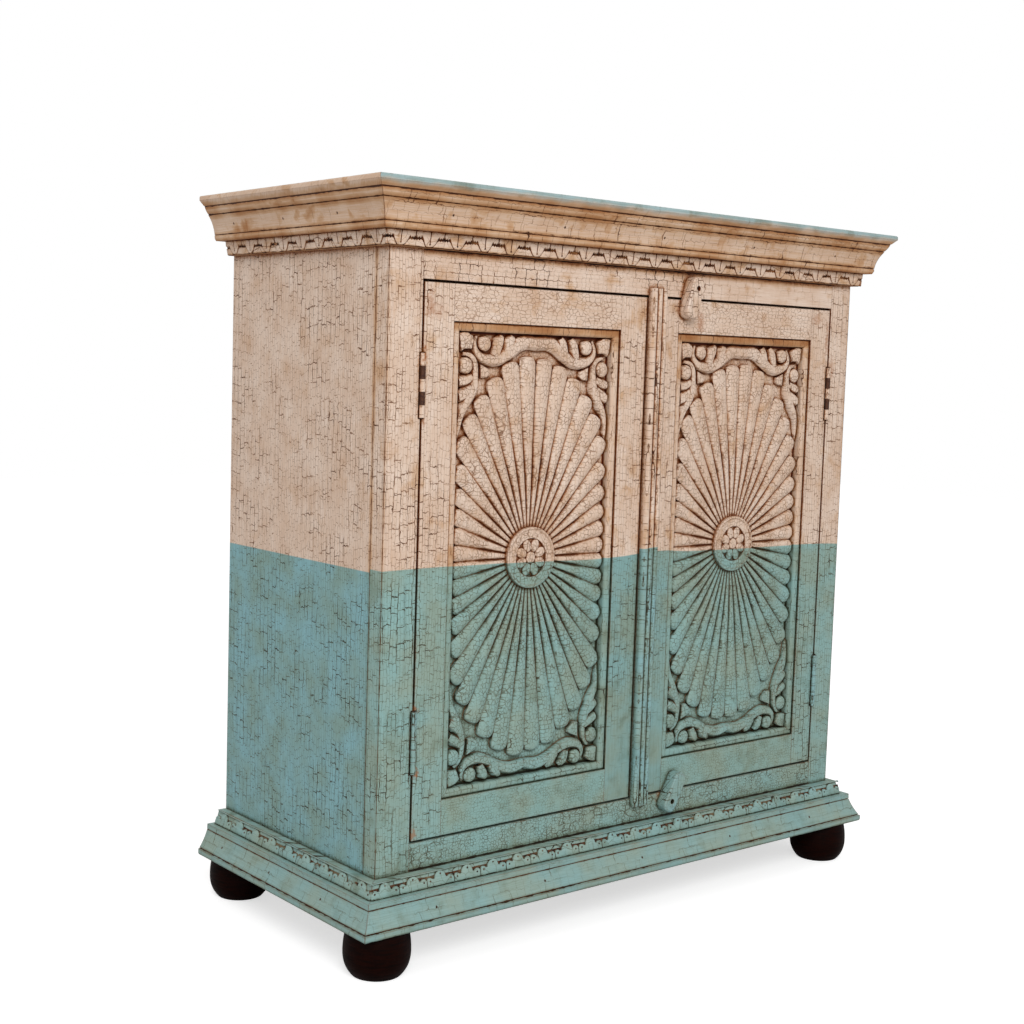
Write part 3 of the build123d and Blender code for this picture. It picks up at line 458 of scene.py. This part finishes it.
# The top rail's line at 856 is a dark joint under the band. Its brown reaching 10 mm down the rail
# is painted shade from the band and crown above.
top_rail_paint = cracked_paint("crackle_paint_top_rail", 7.5, 5.5, "rows", cracks=0.7,
                               broad=1.6, grooves_and_shade=((856, 1.1, 0.9, 10),), calm=("x", 90, 130),
                               stains=((78, 822, 10, 20, 0.45),))
bottom_rail_paint = cracked_paint("crackle_paint_bottom_rail", 4.6, 4.2, "polygons", wax=0.4,
                                  reach=4, cracks=1.3, broad=0.6, grooves_and_shade=((117, 1.4, 0.9, 8),),
                                  stains=((58, 142, 10, 10, 0.6),))
door_top_paint = cracked_paint("crackle_paint_door_top", 7, 5, "polygons", broad=0.2,
                               stains=((100, 790, 10, 16, 0.5),))
door_bottom_paint = cracked_paint("crackle_paint_door_bottom", 4.6, 3.8, "polygons", wax=0.5,
                                  cracks=0.6, broad=0.1, blues=("#8BAEA9", "#8FA497"))
carving_paint = cracked_paint("crackle_paint_carving", 4.8, 5.4, "polygons", line=479.5, wax=1.1,
                              reach=7, wash=0.35, cracks=1.15, broad=0.3, field=True)
# The brown spread over the beading's top strip from 770 is wax and painted shade on that recessed,
# downward-facing strip.
beading_paint = cracked_paint("crackle_paint_beading", 9, 12, "rows", line=480.5, wax=0.5,
                              reach=5, wash=0.9, soak=0.12, grooves_and_shade=((770, 0, 1.3, 11),))
# On the crown, the dark line at 918 is the joint under the top board, and its brown halo is painted
# shade under the board's overhang. The brown at 875.3, under the crown's bead, is painted shade.
crown_paint = cracked_paint("crackle_paint_crown", 17, 10, "rows", wash=1.1, soak=0.2, reach=14,
                            broad=1.1, calm=("x", -405, -440),
                            grooves_and_shade=((918, 1.3, 1.3, 8), (907.6, 0.7, 1.1, 9),
                                    (882.6, 0.6, 0.9, 7), (875.3, 0, 1.2, 6)))
plinth_paint = cracked_paint("crackle_paint_plinth", 12, 9, "rows", wash=0.45, soak=0.06,
                             cracks=0.3, broad=0.3, reach=6, blues=("#8BADAC", "#94A99F"),
                             grooves_and_shade=((89.4, 0.5, 0.5, 3), (65.8, 0.6, 0.6, 4),
                                     (56.3, 0.7, 0.9, 5)))
band_paint = cracked_paint("crackle_paint_band", 14, 12, "polygons", wash=0.6, soak=0.05,
                           cracks=0.6, broad=0.5, reach=4, rub=0.3, blues=("#8CB0AF", "#96ADA3"),
                           grooves_and_shade=((857, 0.6, 0.6, 3), (97.4, 0.5, 0.4, 3)))
upper_sunk_paint = cracked_paint("waxed_paint_upper_band", 14, 12, "polygons", wash=1, soak=0.8,
                                 reach=4)
lower_sunk_paint = cracked_paint("waxed_paint_lower_band", 14, 12, "polygons", wash=0.9,
                                 soak=0.08, reach=3, blues=("#8CB0AF", "#96ADA3"))
# The brown at 918.6, on the underside and lower edge of the top board's overhang, is painted shade.
top_board_paint = cracked_paint("crackle_paint_top_board", 9, 6, "rows", soak=0.16, wash=0.8,
                                reach=14, cracks=0.8, broad=0.8, blues=("#A6BFC4", "#9BB0B0"),
                                grooves_and_shade=((918.6, 0, 0.8, 8),), top=True)

# %% [markdown]
# ## Bare wood, shellac and steel
#
# Inside, the boards are bare hardwood, grey-brown with age. The bun feet are turned and
# shellacked almost black, so they keep a soft sheen. The hinge leaves are steel: half of them are
# painted over, the others tarnished with rust in their pits.

# %% Old bare hardwood
def bare_wood(name, run):
    """Planed hardwood with its grain along the run axis."""
    material, tree = new_material(name)
    wood, pores = wood_grain(tree, add(tree, "TexCoord", out="Object"), run)
    bump = add(tree, "Bump", {"Height": pores, "Strength": 0.35, "Distance": 0.3 * MM})
    shader = add(tree, "BsdfPrincipled", {"Base Color": wood, "Roughness": 0.72, "Normal": bump})
    add(tree, "OutputMaterial", {0: shader})
    return material


upright_wood = bare_wood("bare_hardwood_upright", "z")
level_wood = bare_wood("bare_hardwood_level", "x")
print("bare wood for", upright_wood.name, "and", level_wood.name)

# %% Shellacked feet
feet_finish, tree = new_material("dark_shellac")
place = add(tree, "TexCoord", out="Object")
turned = add(tree, "Mapping", {"Vector": place, "Scale": Vector((60, 60, 400))})
turned = add(tree, "TexNoise", {"Vector": turned, "Scale": 1, "Detail": 4})
tone = add(tree, "MapRange", {0: turned, 1: 0.35, 2: 0.7})
tone = blend(tree, tone, colour("#180401"), colour("#080201"))
sheen = add(tree, "MapRange", {0: turned, 1: 0.3, 2: 0.7, 3: 0.42, 4: 0.56})
bump = add(tree, "Bump", {"Height": turned, "Strength": 0.15, "Distance": 0.3 * MM})
shader = add(tree, "BsdfPrincipled", {"Base Color": tone, "Roughness": sheen, "Normal": bump,
                                      "Specular IOR Level": 0.04})
add(tree, "OutputMaterial", {0: shader})
print(feet_finish.name, "for the feet")

# %% Tarnished steel
def old_steel(name, clean, rust):
    """Steel gone dull, with rust in spots 2 mm across."""
    material, tree = new_material(name)
    place = add(tree, "TexCoord", out="Object")
    spots = add(tree, "TexNoise", {"Vector": place, "Scale": 1 / (3 * MM), "Detail": 4})
    spots = add(tree, "MapRange", {0: spots, 1: 0.45, 2: 0.62})
    tone = blend(tree, spots, colour(clean), colour(rust))
    metal = add(tree, "MapRange", {0: spots, 3: 0.9, 4: 0.2})
    dull = add(tree, "MapRange", {0: spots, 3: 0.42, 4: 0.85})
    bump = add(tree, "Bump", {"Height": spots, "Strength": 0.3, "Distance": 0.2 * MM})
    shader = add(tree, "BsdfPrincipled", {"Base Color": tone, "Metallic": metal, "Roughness": dull,
                                          "Normal": bump})
    add(tree, "OutputMaterial", {0: shader})
    return material


hinge_steel = old_steel("tarnished_steel", "#54382A", "#3A1C0E")
fastener_steel = old_steel("rusty_nail_steel", "#4B3A2E", "#3A2114")
print("steel:", hinge_steel.name, fastener_steel.name)

# %% Old wax
def old_wax(name, light, dark, thin):
    """Brown wax packed into a cut, dull, in lumps 3 mm across, and thinner here and there."""
    material, tree = new_material(name)
    place = add(tree, "TexCoord", out="Object")
    lumps = add(tree, "TexNoise", {"Vector": place, "Scale": 1 / (4 * MM), "Detail": 3})
    lumps = add(tree, "MapRange", {0: lumps, 1: 0.4, 2: 0.62})
    spread = add(tree, "TexNoise", {"Vector": place, "Scale": 1 / (24 * MM), "Detail": 3})
    spread = add(tree, "MapRange", {0: spread, 1: 0.5, 2: 0.64, 3: 0, 4: 0.85})
    tone = blend(tree, lumps, colour(light), colour(dark))
    tone = blend(tree, spread, tone, colour(thin))
    bump = add(tree, "Bump", {"Height": lumps, "Strength": 0.4, "Distance": 0.4 * MM})
    shader = add(tree, "BsdfPrincipled", {"Base Color": tone, "Roughness": 0.7, "Normal": bump,
                                          "IOR": 1.44, "Specular IOR Level": 0.2})
    add(tree, "OutputMaterial", {0: shader})
    return material


# The upper band's near-black wax fills the gaps between its tongues and pads: wax, and painted
# shade in those gaps.
upper_wax_and_shade = old_wax("dark_wax_and_shade_upper_band", "#4A2610", "#1E0D05", "#A0683C")
lower_wax = old_wax("dark_wax_lower_band", "#5C3C28", "#20140C", "#7A6A50")
print("wax:", upper_wax_and_shade.name, lower_wax.name)

# %% [markdown]
# ## Painting what CAD made
#
# Most CAD parts already have the right shape, so each only gets its finish: the grain of the
# paint runs along the board, as the cracks on the real one do.

# %% Finishes for the CAD parts
finishes = {
    side_paint: ("left_side_board", "right_side_board"),
    post_paint: ("frame_left_stile", "frame_right_stile", "left_door_hinge_stile",
                 "right_door_hinge_stile", "upper_turn_button", "left_upper_frame_leaf",
                 "right_upper_frame_leaf"),
    fresh_paint: ("astragal", "lower_turn_button", "left_lower_frame_leaf",
                  "right_lower_frame_leaf", "left_lower_door_leaf", "right_lower_door_leaf"),
    meeting_paint: ("left_door_meeting_stile", "right_door_meeting_stile"),
    top_rail_paint: ("frame_top_rail",),
    bottom_rail_paint: ("frame_bottom_rail",),
    door_top_paint: ("left_door_top_rail", "right_door_top_rail"),
    door_bottom_paint: ("left_door_bottom_rail", "right_door_bottom_rail"),
    beading_paint: ("left_door_beading", "right_door_beading"),
    carving_paint: ("left_door_panel", "right_door_panel"),
    crown_paint: ("crown_front", "crown_left", "crown_right"),
    plinth_paint: ("plinth_front", "plinth_left", "plinth_right"),
    band_paint: ("upper_band_front", "upper_band_left", "upper_band_right", "lower_band_front",
                 "lower_band_left", "lower_band_right"),
    top_board_paint: ("top_board",),
    upright_wood: ("back_board", "door_stop"),
    level_wood: ("bottom_board", "shelf_board", "shelf_cleats"),
    feet_finish: ("front_left_foot", "front_right_foot", "back_left_foot", "back_right_foot"),
    hinge_steel: ("left_upper_door_leaf", "right_upper_door_leaf", "hinge_pins"),
    fastener_steel: ("foot_screws", "frame_hinge_screws", "left_door_hinge_screws",
                     "right_door_hinge_screws", "moulding_nails", "back_screws", "button_screws"),
}
for finish, names in finishes.items():
    for name in names:
        nodes[name].data.materials.clear()
        nodes[name].data.materials.append(finish)
print("unfinished:", sorted(set(nodes) - {name for names in finishes.values() for name in names}))

# %% [markdown]
# ## Carving tools
#
# A carver's gouge leaves limbs that are round in section and swell and taper along their length.
# A NURBS curve with a width at each of its points does the same, and many of them turn to one
# mesh in a single conversion. The round tubes are then pressed flat on top, as the carver's board
# was planed before any cutting. Small flat shapes are cut as slabs with bevelled rims.

# %% Round limbs, domes and slabs
def limbs(strokes):
    """One mesh of round limbs, each a list of (x, z, half width) in mm."""
    clear_selection()
    curve = bpy.data.curves.new("limbs", "CURVE")
    curve.dimensions, curve.bevel_depth, curve.bevel_resolution = "3D", MM, 3
    curve.use_fill_caps = True
    for stroke in strokes:
        spline = curve.splines.new("NURBS")
        spline.points.add(len(stroke) - 1)
        for point, (x, z, half) in zip(spline.points, stroke):
            point.co, point.radius = (x * MM, 0, z * MM, 1), half
        spline.order_u, spline.use_endpoint_u, spline.resolution_u = 3, True, 4
    drawn = bpy.data.objects.new("limbs", curve)
    bpy.context.collection.objects.link(drawn)
    choose(drawn)
    bpy.ops.object.convert(target="MESH")
    return bpy.context.object


def dome(x, z, radius):
    """A ball that its ground will half bury."""
    clear_selection()
    bpy.ops.mesh.primitive_uv_sphere_add(segments=24, ring_count=12, radius=radius * MM,
                                         location=(x * MM, 0, z * MM))
    bpy.ops.object.transform_apply(location=True, rotation=True, scale=True)
    return bpy.context.object


def slab(outline, thickness, rim):
    """A flat shape from its (x, z) outline in mm, standing out of y = 0, its front rim bevelled."""
    clear_selection()
    bpy.ops.mesh.primitive_circle_add(vertices=len(outline), radius=1, fill_type="NGON")
    piece = bpy.context.object
    for vertex, (x, z) in zip(piece.data.vertices, outline):
        vertex.co = (x * MM, 0, z * MM)
    bpy.ops.object.mode_set(mode="EDIT")
    bpy.ops.mesh.select_all(action="SELECT")
    bpy.ops.mesh.extrude_region_move(TRANSFORM_OT_translate={"value": (0, -thickness * MM, 0)})
    bpy.ops.mesh.bevel(offset=rim * MM, segments=2, affect="EDGES", clamp_overlap=True)
    bpy.ops.mesh.select_all(action="SELECT")
    bpy.ops.mesh.normals_make_consistent(inside=False)
    bpy.ops.object.mode_set(mode="OBJECT")
    return piece


def press(piece, ground, height, fullness=1.5):
    """Presses a round form onto its ground at y = ground mm, its top no more than height high."""
    for vertex in piece.data.vertices:
        out = -vertex.co.y / MM
        risen = height * math.tanh(fullness * out / height) if out > 0 else max(out, -3)
        vertex.co.y = (ground - risen) * MM
    return piece


print("carving tools ready")

# %% [markdown]
# ## The sunburst panels
#
# Each door panel is one board carved with 44 petals round a rosette, with a scroll, a volute,
# leaves and a block in every corner. The petals lie closer together at the sides than above and
# below, and their tips follow an oval that the frame cuts off. Everything stands on a sunk
# ground, and its top is a few millimetres below the door's face.

# %% Petals
PETALS = 44
CROWDING = 0.79
GROUND = -153.5
carver = random.Random(7)


def petal_strokes(hub, left, right):
    """The petals' limbs; hub, left and right are x places in mm."""
    strokes = []
    for index in range(PETALS):
        turn = (index + 0.5) * 2 * math.pi / PETALS
        across, up = CROWDING * math.sin(turn), math.cos(turn)
        spread = math.hypot(across, up)
        across, up = across / spread, up / spread
        slope = math.tan(math.pi / PETALS * CROWDING / spread**2) * carver.uniform(1.02, 1.08)
        oval = 1 / math.hypot(across / 146, up / 252) * carver.uniform(0.99, 1.01)
        side = (right - hub if across > 0 else hub - left) - 1
        shoulder = min(oval / (1 + slope), side / (abs(across) + slope))
        half = shoulder * slope
        stations = ((33, 33 * slope), (shoulder * 0.5, half * 0.5), (shoulder, half),
                    (shoulder + 0.5 * half, half * 0.98), (shoulder + 0.96 * half, half * 0.72),
                    (shoulder + half, half * 0.1))
        strokes.append([(hub + s * across, HUB + s * up, width) for s, width in stations])
    return strokes


print(PETALS, "petals, the first", [tuple(round(v) for v in p) for p in
                                    petal_strokes(-181, *FIELD_SIDES[:2])[0]])

# %% [markdown]
# The corner carving is drawn once for a top corner and once for a bottom one, as distances in
# millimetres from the carved field's side and from its top or bottom, with a half width. The
# other corners mirror them.

# %% Corner carving
top_corner = {
    "scroll": ((31, 5, 2.5), (26.5, 13, 3.5), (28, 22, 5), (34, 29, 6.5), (43, 33, 7.5),
               (55, 34.5, 8), (66, 32, 8.5), (76, 27, 9), (86, 20.5, 9), (96, 13.5, 9.5),
               (105, 10.5, 9.5), (115, 10.5, 9), (125, 12, 9)),
    "leaf": ((59, 29, 7), (61, 18, 8.5), (64.5, 9, 8.5), (68, 3.5, 5)),
    "second_leaf": ((77, 25, 7), (79.5, 15, 8.5), (83, 8.5, 8.5), (85.5, 4, 6)),
    "side_scroll": ((10, 27, 3), (18, 27, 4), (25, 31, 5), (28.5, 39, 5.5), (28.5, 49, 6),
                    (28, 59, 7), (26.5, 68, 8), (22, 77, 8), (16, 86, 7.5), (10.5, 95, 7),
                    (7, 105, 5.5), (5, 115, 4.5), (4, 125, 3.5), (3.5, 133, 2)),
    "side_leaf": ((24, 54, 6), (16, 58, 7.5), (9, 60, 7.5), (4, 60.5, 6)),
    "lower_side_leaf": ((23, 67, 6.5), (15, 73, 8), (9, 76.5, 8.5), (4, 78, 7)),
    "eyes": ((41.5, 14, 10), (14, 41, 10.5)),
    "block": ((1, 2), (8, 0.6), (15, 1), (22, 5), (24.5, 10), (22.5, 16), (21.5, 21), (16, 20.5),
              (10, 21), (6, 24), (3.5, 18), (2.5, 10)),
    "small_leaf": ((36, 38), (51, 44), (52, 51), (47, 55), (37, 55.5)),
}
bottom_corner = {
    "scroll": ((27, 6, 3), (24.5, 14, 4), (26.5, 22, 5.5), (34, 28, 7), (46, 31, 7.5),
               (57, 29, 7.5), (68, 24.5, 7), (78, 19, 7), (88, 14.5, 7.5), (97, 11.5, 8),
               (106, 11, 8.5), (115, 12, 8), (125, 14.5, 6.5)),
    "leaf": ((53, 22, 6), (56, 14, 8.5), (60, 8, 8), (64.5, 3.5, 4)),
    "second_leaf": ((70, 21, 6), (76, 14, 8), (81, 8.5, 7.5), (86, 4, 4)),
    "side_scroll": ((13, 24, 3), (19, 28, 4), (22.5, 35, 4.5), (24, 43, 5), (24.5, 51, 5.5),
                    (23.5, 59, 6.5), (21, 67, 7), (17.5, 75, 7.5), (14, 83, 7.5), (10, 91, 7),
                    (6, 99, 6), (4, 108, 5), (3, 119, 4), (2.5, 131, 2.5)),
    "side_leaf": ((23, 50, 5.5), (17, 55, 7.5), (9, 60, 8), (3.5, 62.5, 6.5)),
    "lower_side_leaf": ((22, 66, 6), (16, 72, 8), (9.5, 78, 8.5), (4, 81, 6.5)),
    "eyes": ((37.5, 11.5, 10), (10, 37, 10.5)),
    "block": ((0.6, 21), (8, 21.5), (16, 21), (18.5, 15), (20.5, 9), (15, 4), (8, 1.5), (2, 1),
              (1, 11)),
    "small_leaf": ((33, 57), (41, 58.5), (50, 51), (50.5, 45), (44, 41.5), (32, 36.5)),
}


def corner_pieces(left, right):
    """Every corner's limbs and its other shapes, for the field between two sides in mm."""
    strokes, shapes = [], []
    for drawing, end, upward in ((top_corner, FIELD_HIGH, -1), (bottom_corner, FIELD_LOW, 1)):
        for side, inward in ((left, 1), (right, -1)):
            for name, points in drawing.items():
                if name == "eyes":
                    shapes += [dome(side + inward * u, end + upward * v, r) for u, v, r in points]
                elif len(points[0]) == 2:
                    outline = [(side + inward * u, end + upward * v) for u, v in points]
                    shapes.append(slab(outline, 8 if name == "block" else 5.5, 2.2))
                else:
                    strokes.append([(side + inward * u * carver.uniform(0.99, 1.01),
                                     end + upward * v * carver.uniform(0.99, 1.01), r)
                                    for u, v, r in points])
    return strokes, shapes


print(len(top_corner) + 1, "forms to a corner")

# %% [markdown]
# The rosette is a turned disc with a thin lip, sunk inside its rim, with eight lobes round a dome.
# A cylinder's face is inset and pushed in and out to make the lip, the rim and the well.

# %% Rosette
ROSETTE = 38.5


def rosette(hub):
    """The disc and its flower, standing out of y = 0."""
    clear_selection()
    bpy.ops.mesh.primitive_cylinder_add(vertices=72, radius=ROSETTE * MM, depth=11 * MM,
                                        location=(hub * MM, -2.5 * MM, HUB * MM),
                                        rotation=(math.pi / 2, 0, 0))
    bpy.ops.object.transform_apply(location=True, rotation=True, scale=True)
    disc = bpy.context.object
    bpy.ops.object.mode_set(mode="EDIT")
    bpy.ops.mesh.select_mode(type="FACE")
    bpy.ops.mesh.select_all(action="DESELECT")
    shape = bmesh.from_edit_mesh(disc.data)
    for face in shape.faces:
        face.select_set(face.normal.y < -0.9)
    bmesh.update_edit_mesh(disc.data)
    for narrower, outward in ((1.2, 0.6), (1.6, 0), (1.0, -0.9), (10.2, 0), (0.8, -3.4)):
        bpy.ops.mesh.inset(thickness=narrower * MM)
        bpy.ops.transform.translate(value=(0, -outward * MM, 0))
    bpy.ops.object.mode_set(mode="OBJECT")
    flower = [dome(hub, HUB, 8)]
    for lobe in range(8):
        turn = (lobe + 0.5) * math.pi / 4
        petal = dome(0, 0, 7.6)
        petal.data.transform(Matrix.Diagonal((0.86, 1, 1.2, 1)))
        petal.data.transform(Matrix.Translation(Vector((hub, 0, HUB)) * MM)
                             @ Matrix.Rotation(turn, 4, "Y")
                             @ Matrix.Translation((0, 0, 16.2 * MM)))
        flower.append(petal)
    return disc, join(flower)


print("rosette of", ROSETTE * 2, "mm")

# %% Both panels
def carved_panel(door, hub, left, right):
    """One door's panel: a ground board, petals, corners and rosette in one piece."""
    low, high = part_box(door + "_door_panel")
    clear_selection()
    bpy.ops.mesh.primitive_cube_add(size=1)
    board = bpy.context.object
    board.scale = (high.x - low.x, high.y - GROUND * MM, high.z - low.z)
    board.location = ((high.x + low.x) / 2, (high.y + GROUND * MM) / 2, (high.z + low.z) / 2)
    bpy.ops.object.transform_apply(location=True, rotation=True, scale=True)
    strokes, shapes = corner_pieces(left, right)
    slabs = [shape for shape in shapes if len(shape.data.vertices) < 100]
    domes = [shape for shape in shapes if shape not in slabs]
    rays = press(limbs(petal_strokes(hub, left, right)), GROUND, 7.8, 1.35)
    scrolls = press(join(domes + [limbs(strokes)]), GROUND, 8.6, 1.7)
    disc, flower = rosette(hub)
    press(flower, GROUND - 3.5, 4.2, 1.4)
    for flat in slabs + [disc]:
        flat.data.transform(Matrix.Translation((0, GROUND * MM, 0)))
    whole = join([board, rays, scrolls, disc, flower, *slabs])
    whole.data.materials.clear()
    whole.data.materials.append(carving_paint)
    return finish_piece(whole, door + "_panel_carving", door + "_door",
                        [door + "_door_panel"])


carved_panel("left", -181, *FIELD_SIDES[:2])
carved_panel("right", 189.5, *FIELD_SIDES[2:])

# %% [markdown]
# ## The carved bands
#
# Two narrow bands run round the cabinet, under the crown and above the plinth. Each repeats a
# tongue and a scalloped pad every 40 mm. One repeat is cut from slabs, and its copies are laid
# along a sunk strip with mitred ends, so the dark gaps between the shapes are real hollows. In
# the upper band the wax at their back is near black, which adds painted shade.

# %% One repeat of each band
REPEAT, BAND_HEIGHT = 40, 18.5


def repeat(outlines, fills, dots, wax, lean):
    """One repeat of raised slabs, each an outline and a thickness, with flat fills of wax
    behind them, which a dark wax makes painted shade as well, and dots of wax on them; lean is
    how much y falls for each mm up."""
    parts = [slab(outline, thickness, 0.6) for outline, thickness in outlines]
    for part in parts:
        part.data.materials.append(band_paint)
    for low_x, high_x, low_z, high_z in fills:
        fill = slab([(low_x, low_z), (high_x, low_z), (high_x, high_z), (low_x, high_z)], 0.2, 0.05)
        fill.data.materials.append(wax)
        parts.append(fill)
    for x, z in dots:
        clear_selection()
        bpy.ops.mesh.primitive_circle_add(vertices=6, radius=1.25 * MM, fill_type="NGON",
                                          location=(x * MM, -2.45 * MM, z * MM),
                                          rotation=(math.pi / 2, 0, 0))
        bpy.ops.object.transform_apply(location=True, rotation=True, scale=True)
        bpy.context.object.data.materials.append(wax)
        parts.append(bpy.context.object)
    whole = join(parts)
    whole.data.transform(Matrix(((1, 0, 0, 0), (0, 1, -lean, 0), (0, 0, 1, 0), (0, 0, 0, 1))))
    return whole


def mirrored(outline):
    return [(REPEAT - x, z) for x, z in reversed(outline)]


half_tongue = [(19.5, 5.6), (19.5, 18.2), (0.5, 18.2), (0.5, 11.6), (1.6, 13), (2.8, 10.8),
               (4.6, 12.4), (6.2, 10.6), (8, 13), (9.4, 11.4), (10.8, 8.6), (12.2, 5.6),
               (14.4, 2.8), (17, 1.2), (20, 0.8)]
tongue = half_tongue + mirrored(half_tongue)[1:]
half_pad = [(-0.3, 0.5), (15.6, 0.5), (13.8, 2.6), (11.7, 5.4), (9.7, 8), (7, 9.2), (5.4, 7.8),
            (3.6, 9.4), (2, 7.8), (0.6, 8.8), (-0.3, 8.4)]
upper_repeat = repeat([(tongue, 2.4), (half_pad, 1.7), (mirrored(half_pad), 1.7)],
                      [(-0.3, 9.4, 7, 13), (30.6, 40.3, 7, 13)], [(20, 4.4)], upper_wax_and_shade,
                      2.7 / BAND_HEIGHT)
print("upper repeat:", len(upper_repeat.data.polygons), "faces")

pads_and_tongue = [(0.3, 0.3), (39.7, 0.3), (39.7, 8.2), (37.6, 10.4), (35.2, 10.9), (32.6, 10.2),
                   (30.4, 8.6), (28.4, 9), (27.2, 12.4), (25.4, 15.6), (22.6, 17), (20, 17.2),
                   (17.4, 17), (14.6, 15.6), (12.8, 12.4), (11.6, 9), (9.6, 8.6), (7.4, 10.2),
                   (4.8, 10.9), (2.4, 10.4), (0.3, 8.2)]
top_bead = [(0, 17.5), (40, 17.5), (40, 18.3), (0, 18.3)]
lower_repeat = repeat([(pads_and_tongue, 2.4), (top_bead, 2.4)],
                      [(-0.3, 13, 6, 12.4), (27, 40.3, 6, 12.4)], [(20, 13.6), (5, 7), (35, 7)],
                      lower_wax, -4.4 / BAND_HEIGHT)
print("lower repeat:", len(lower_repeat.data.polygons), "faces")

# %% Bands along three sides
FRONT, BACK, HALF = -166.5, 190.5, 411
SUNK = 2.4


def sunk_strip(side, foot, low, high):
    """The strip behind the carving; low and high are its reach in mm at its bottom and top."""
    clear_selection()
    bpy.ops.mesh.primitive_cube_add(size=2)
    strip = bpy.context.object
    for vertex in strip.data.vertices:
        a, b, up = (1 if c > 0 else -1 for c in vertex.co)
        reach = (high if up > 0 else low) - SUNK if b < 0 else 0
        x, y = a * (HALF + reach), FRONT - reach
        if side != "front":
            x, y = -HALF - reach, (BACK if a < 0 else FRONT - reach)
            x = -x if side == "right" else x
        vertex.co = (x * MM, y * MM, (foot + BAND_HEIGHT * (up > 0)) * MM)
    choose(strip)
    bpy.ops.object.mode_set(mode="EDIT")
    bpy.ops.mesh.select_all(action="SELECT")
    bpy.ops.mesh.normals_make_consistent(inside=False)
    bpy.ops.object.mode_set(mode="OBJECT")
    return strip


def band(level, side, pattern, foot, low, high):
    """One side of a carved band."""
    middle = (low + high) / 2
    length = 2 * (HALF + middle) if side == "front" else BACK - FRONT + middle
    count = round(length / REPEAT)
    step = length / count
    turn = {"front": 0, "left": -90, "right": 90}[side]
    start = {"front": (-HALF - middle, FRONT - low + SUNK), "left": (-HALF - low + SUNK, BACK),
             "right": (HALF + low - SUNK, FRONT - middle)}[side]
    place = (Matrix.Translation(Vector((*start, foot)) * MM)
             @ Matrix.Rotation(math.radians(turn), 4, "Z"))
    copies = [copy(pattern, place @ Matrix.Translation((index * step * MM, 0, 0))
                   @ Matrix.Diagonal((step / REPEAT, 1, 1, 1))) for index in range(count)]
    carved = join(copies)
    for vertex in carved.data.vertices:
        vertex.co += noise.noise_vector(vertex.co * 70) * 1.1 * MM * Vector((1, 0, 1))
    strip = sunk_strip(side, foot, low, high)
    strip.data.materials.append(upper_sunk_paint if level == "upper" else lower_sunk_paint)
    whole = join([carved, strip])
    name = f"{level}_band_{side}"
    return finish_piece(whole, name + "_carving", "carcass", [name])


# Unseeded, the noise module would start from the clock and wobble differently each run.
noise.seed_set(7)
for side in ("front", "left", "right"):
    band("upper", side, upper_repeat, 856.5, 10.6, 13.3)
    band("lower", side, lower_repeat, 97, 17.4, 13)
for pattern in (upper_repeat, lower_repeat):
    bpy.data.objects.remove(pattern)
print("bands in place")

# %% [markdown]
# ## Floor, backdrop and light
#
# The setting is a plain white sweep. The world is an even white dome, a little dimmer for the
# object than for the camera, and one large soft lamp from the upper front left gives the
# mouldings their shadows. The floor is pale and keeps the shadow under the feet.

# %% Setting
clear_selection()
bpy.ops.mesh.primitive_plane_add(size=14)
floor = bpy.context.object
floor.name = "floor"
white, tree = new_material("white_sweep")
path = add(tree, "LightPath", out="Is Camera Ray")
glow = calc(tree, "MULTIPLY", path, 0.62)
glow = add(tree, "Emission", {"Strength": glow})
matt = add(tree, "BsdfDiffuse", {"Color": (0.72, 0.72, 0.72, 1)})
add(tree, "OutputMaterial", {0: add(tree, "AddShader", {0: matt, 1: glow})})
floor.data.materials.append(white)

world = bpy.data.worlds.new("white_dome")
bpy.context.scene.world = world
world.use_nodes = True
world.node_tree.nodes.clear()
tree = world.node_tree
seen = add(tree, "LightPath", out="Is Camera Ray")
mirrored_rays = add(tree, "LightPath", out="Is Glossy Ray")
passed = add(tree, "LightPath", out="Is Transmission Ray")
seen = calc(tree, "ADD", seen, calc(tree, "ADD", mirrored_rays, passed), use_clamp=True)
strength = add(tree, "MapRange", {0: seen, 3: 0.62, 4: 1})
backdrop = add(tree, "Background", {"Color": (1, 1, 1, 1), "Strength": strength})
add(tree, "OutputWorld", {0: backdrop})

bpy.ops.object.light_add(type="AREA", location=(-1.9, -3.1, 2.6))
lamp = bpy.context.object
lamp.data.shape, lamp.data.size, lamp.data.energy = "DISK", 1.8, 80
lamp.rotation_euler = (Vector((0, 0, 0.5)) - lamp.location).to_track_quat("-Z", "Y").to_euler()
print("lamp", lamp.data.energy, "W")
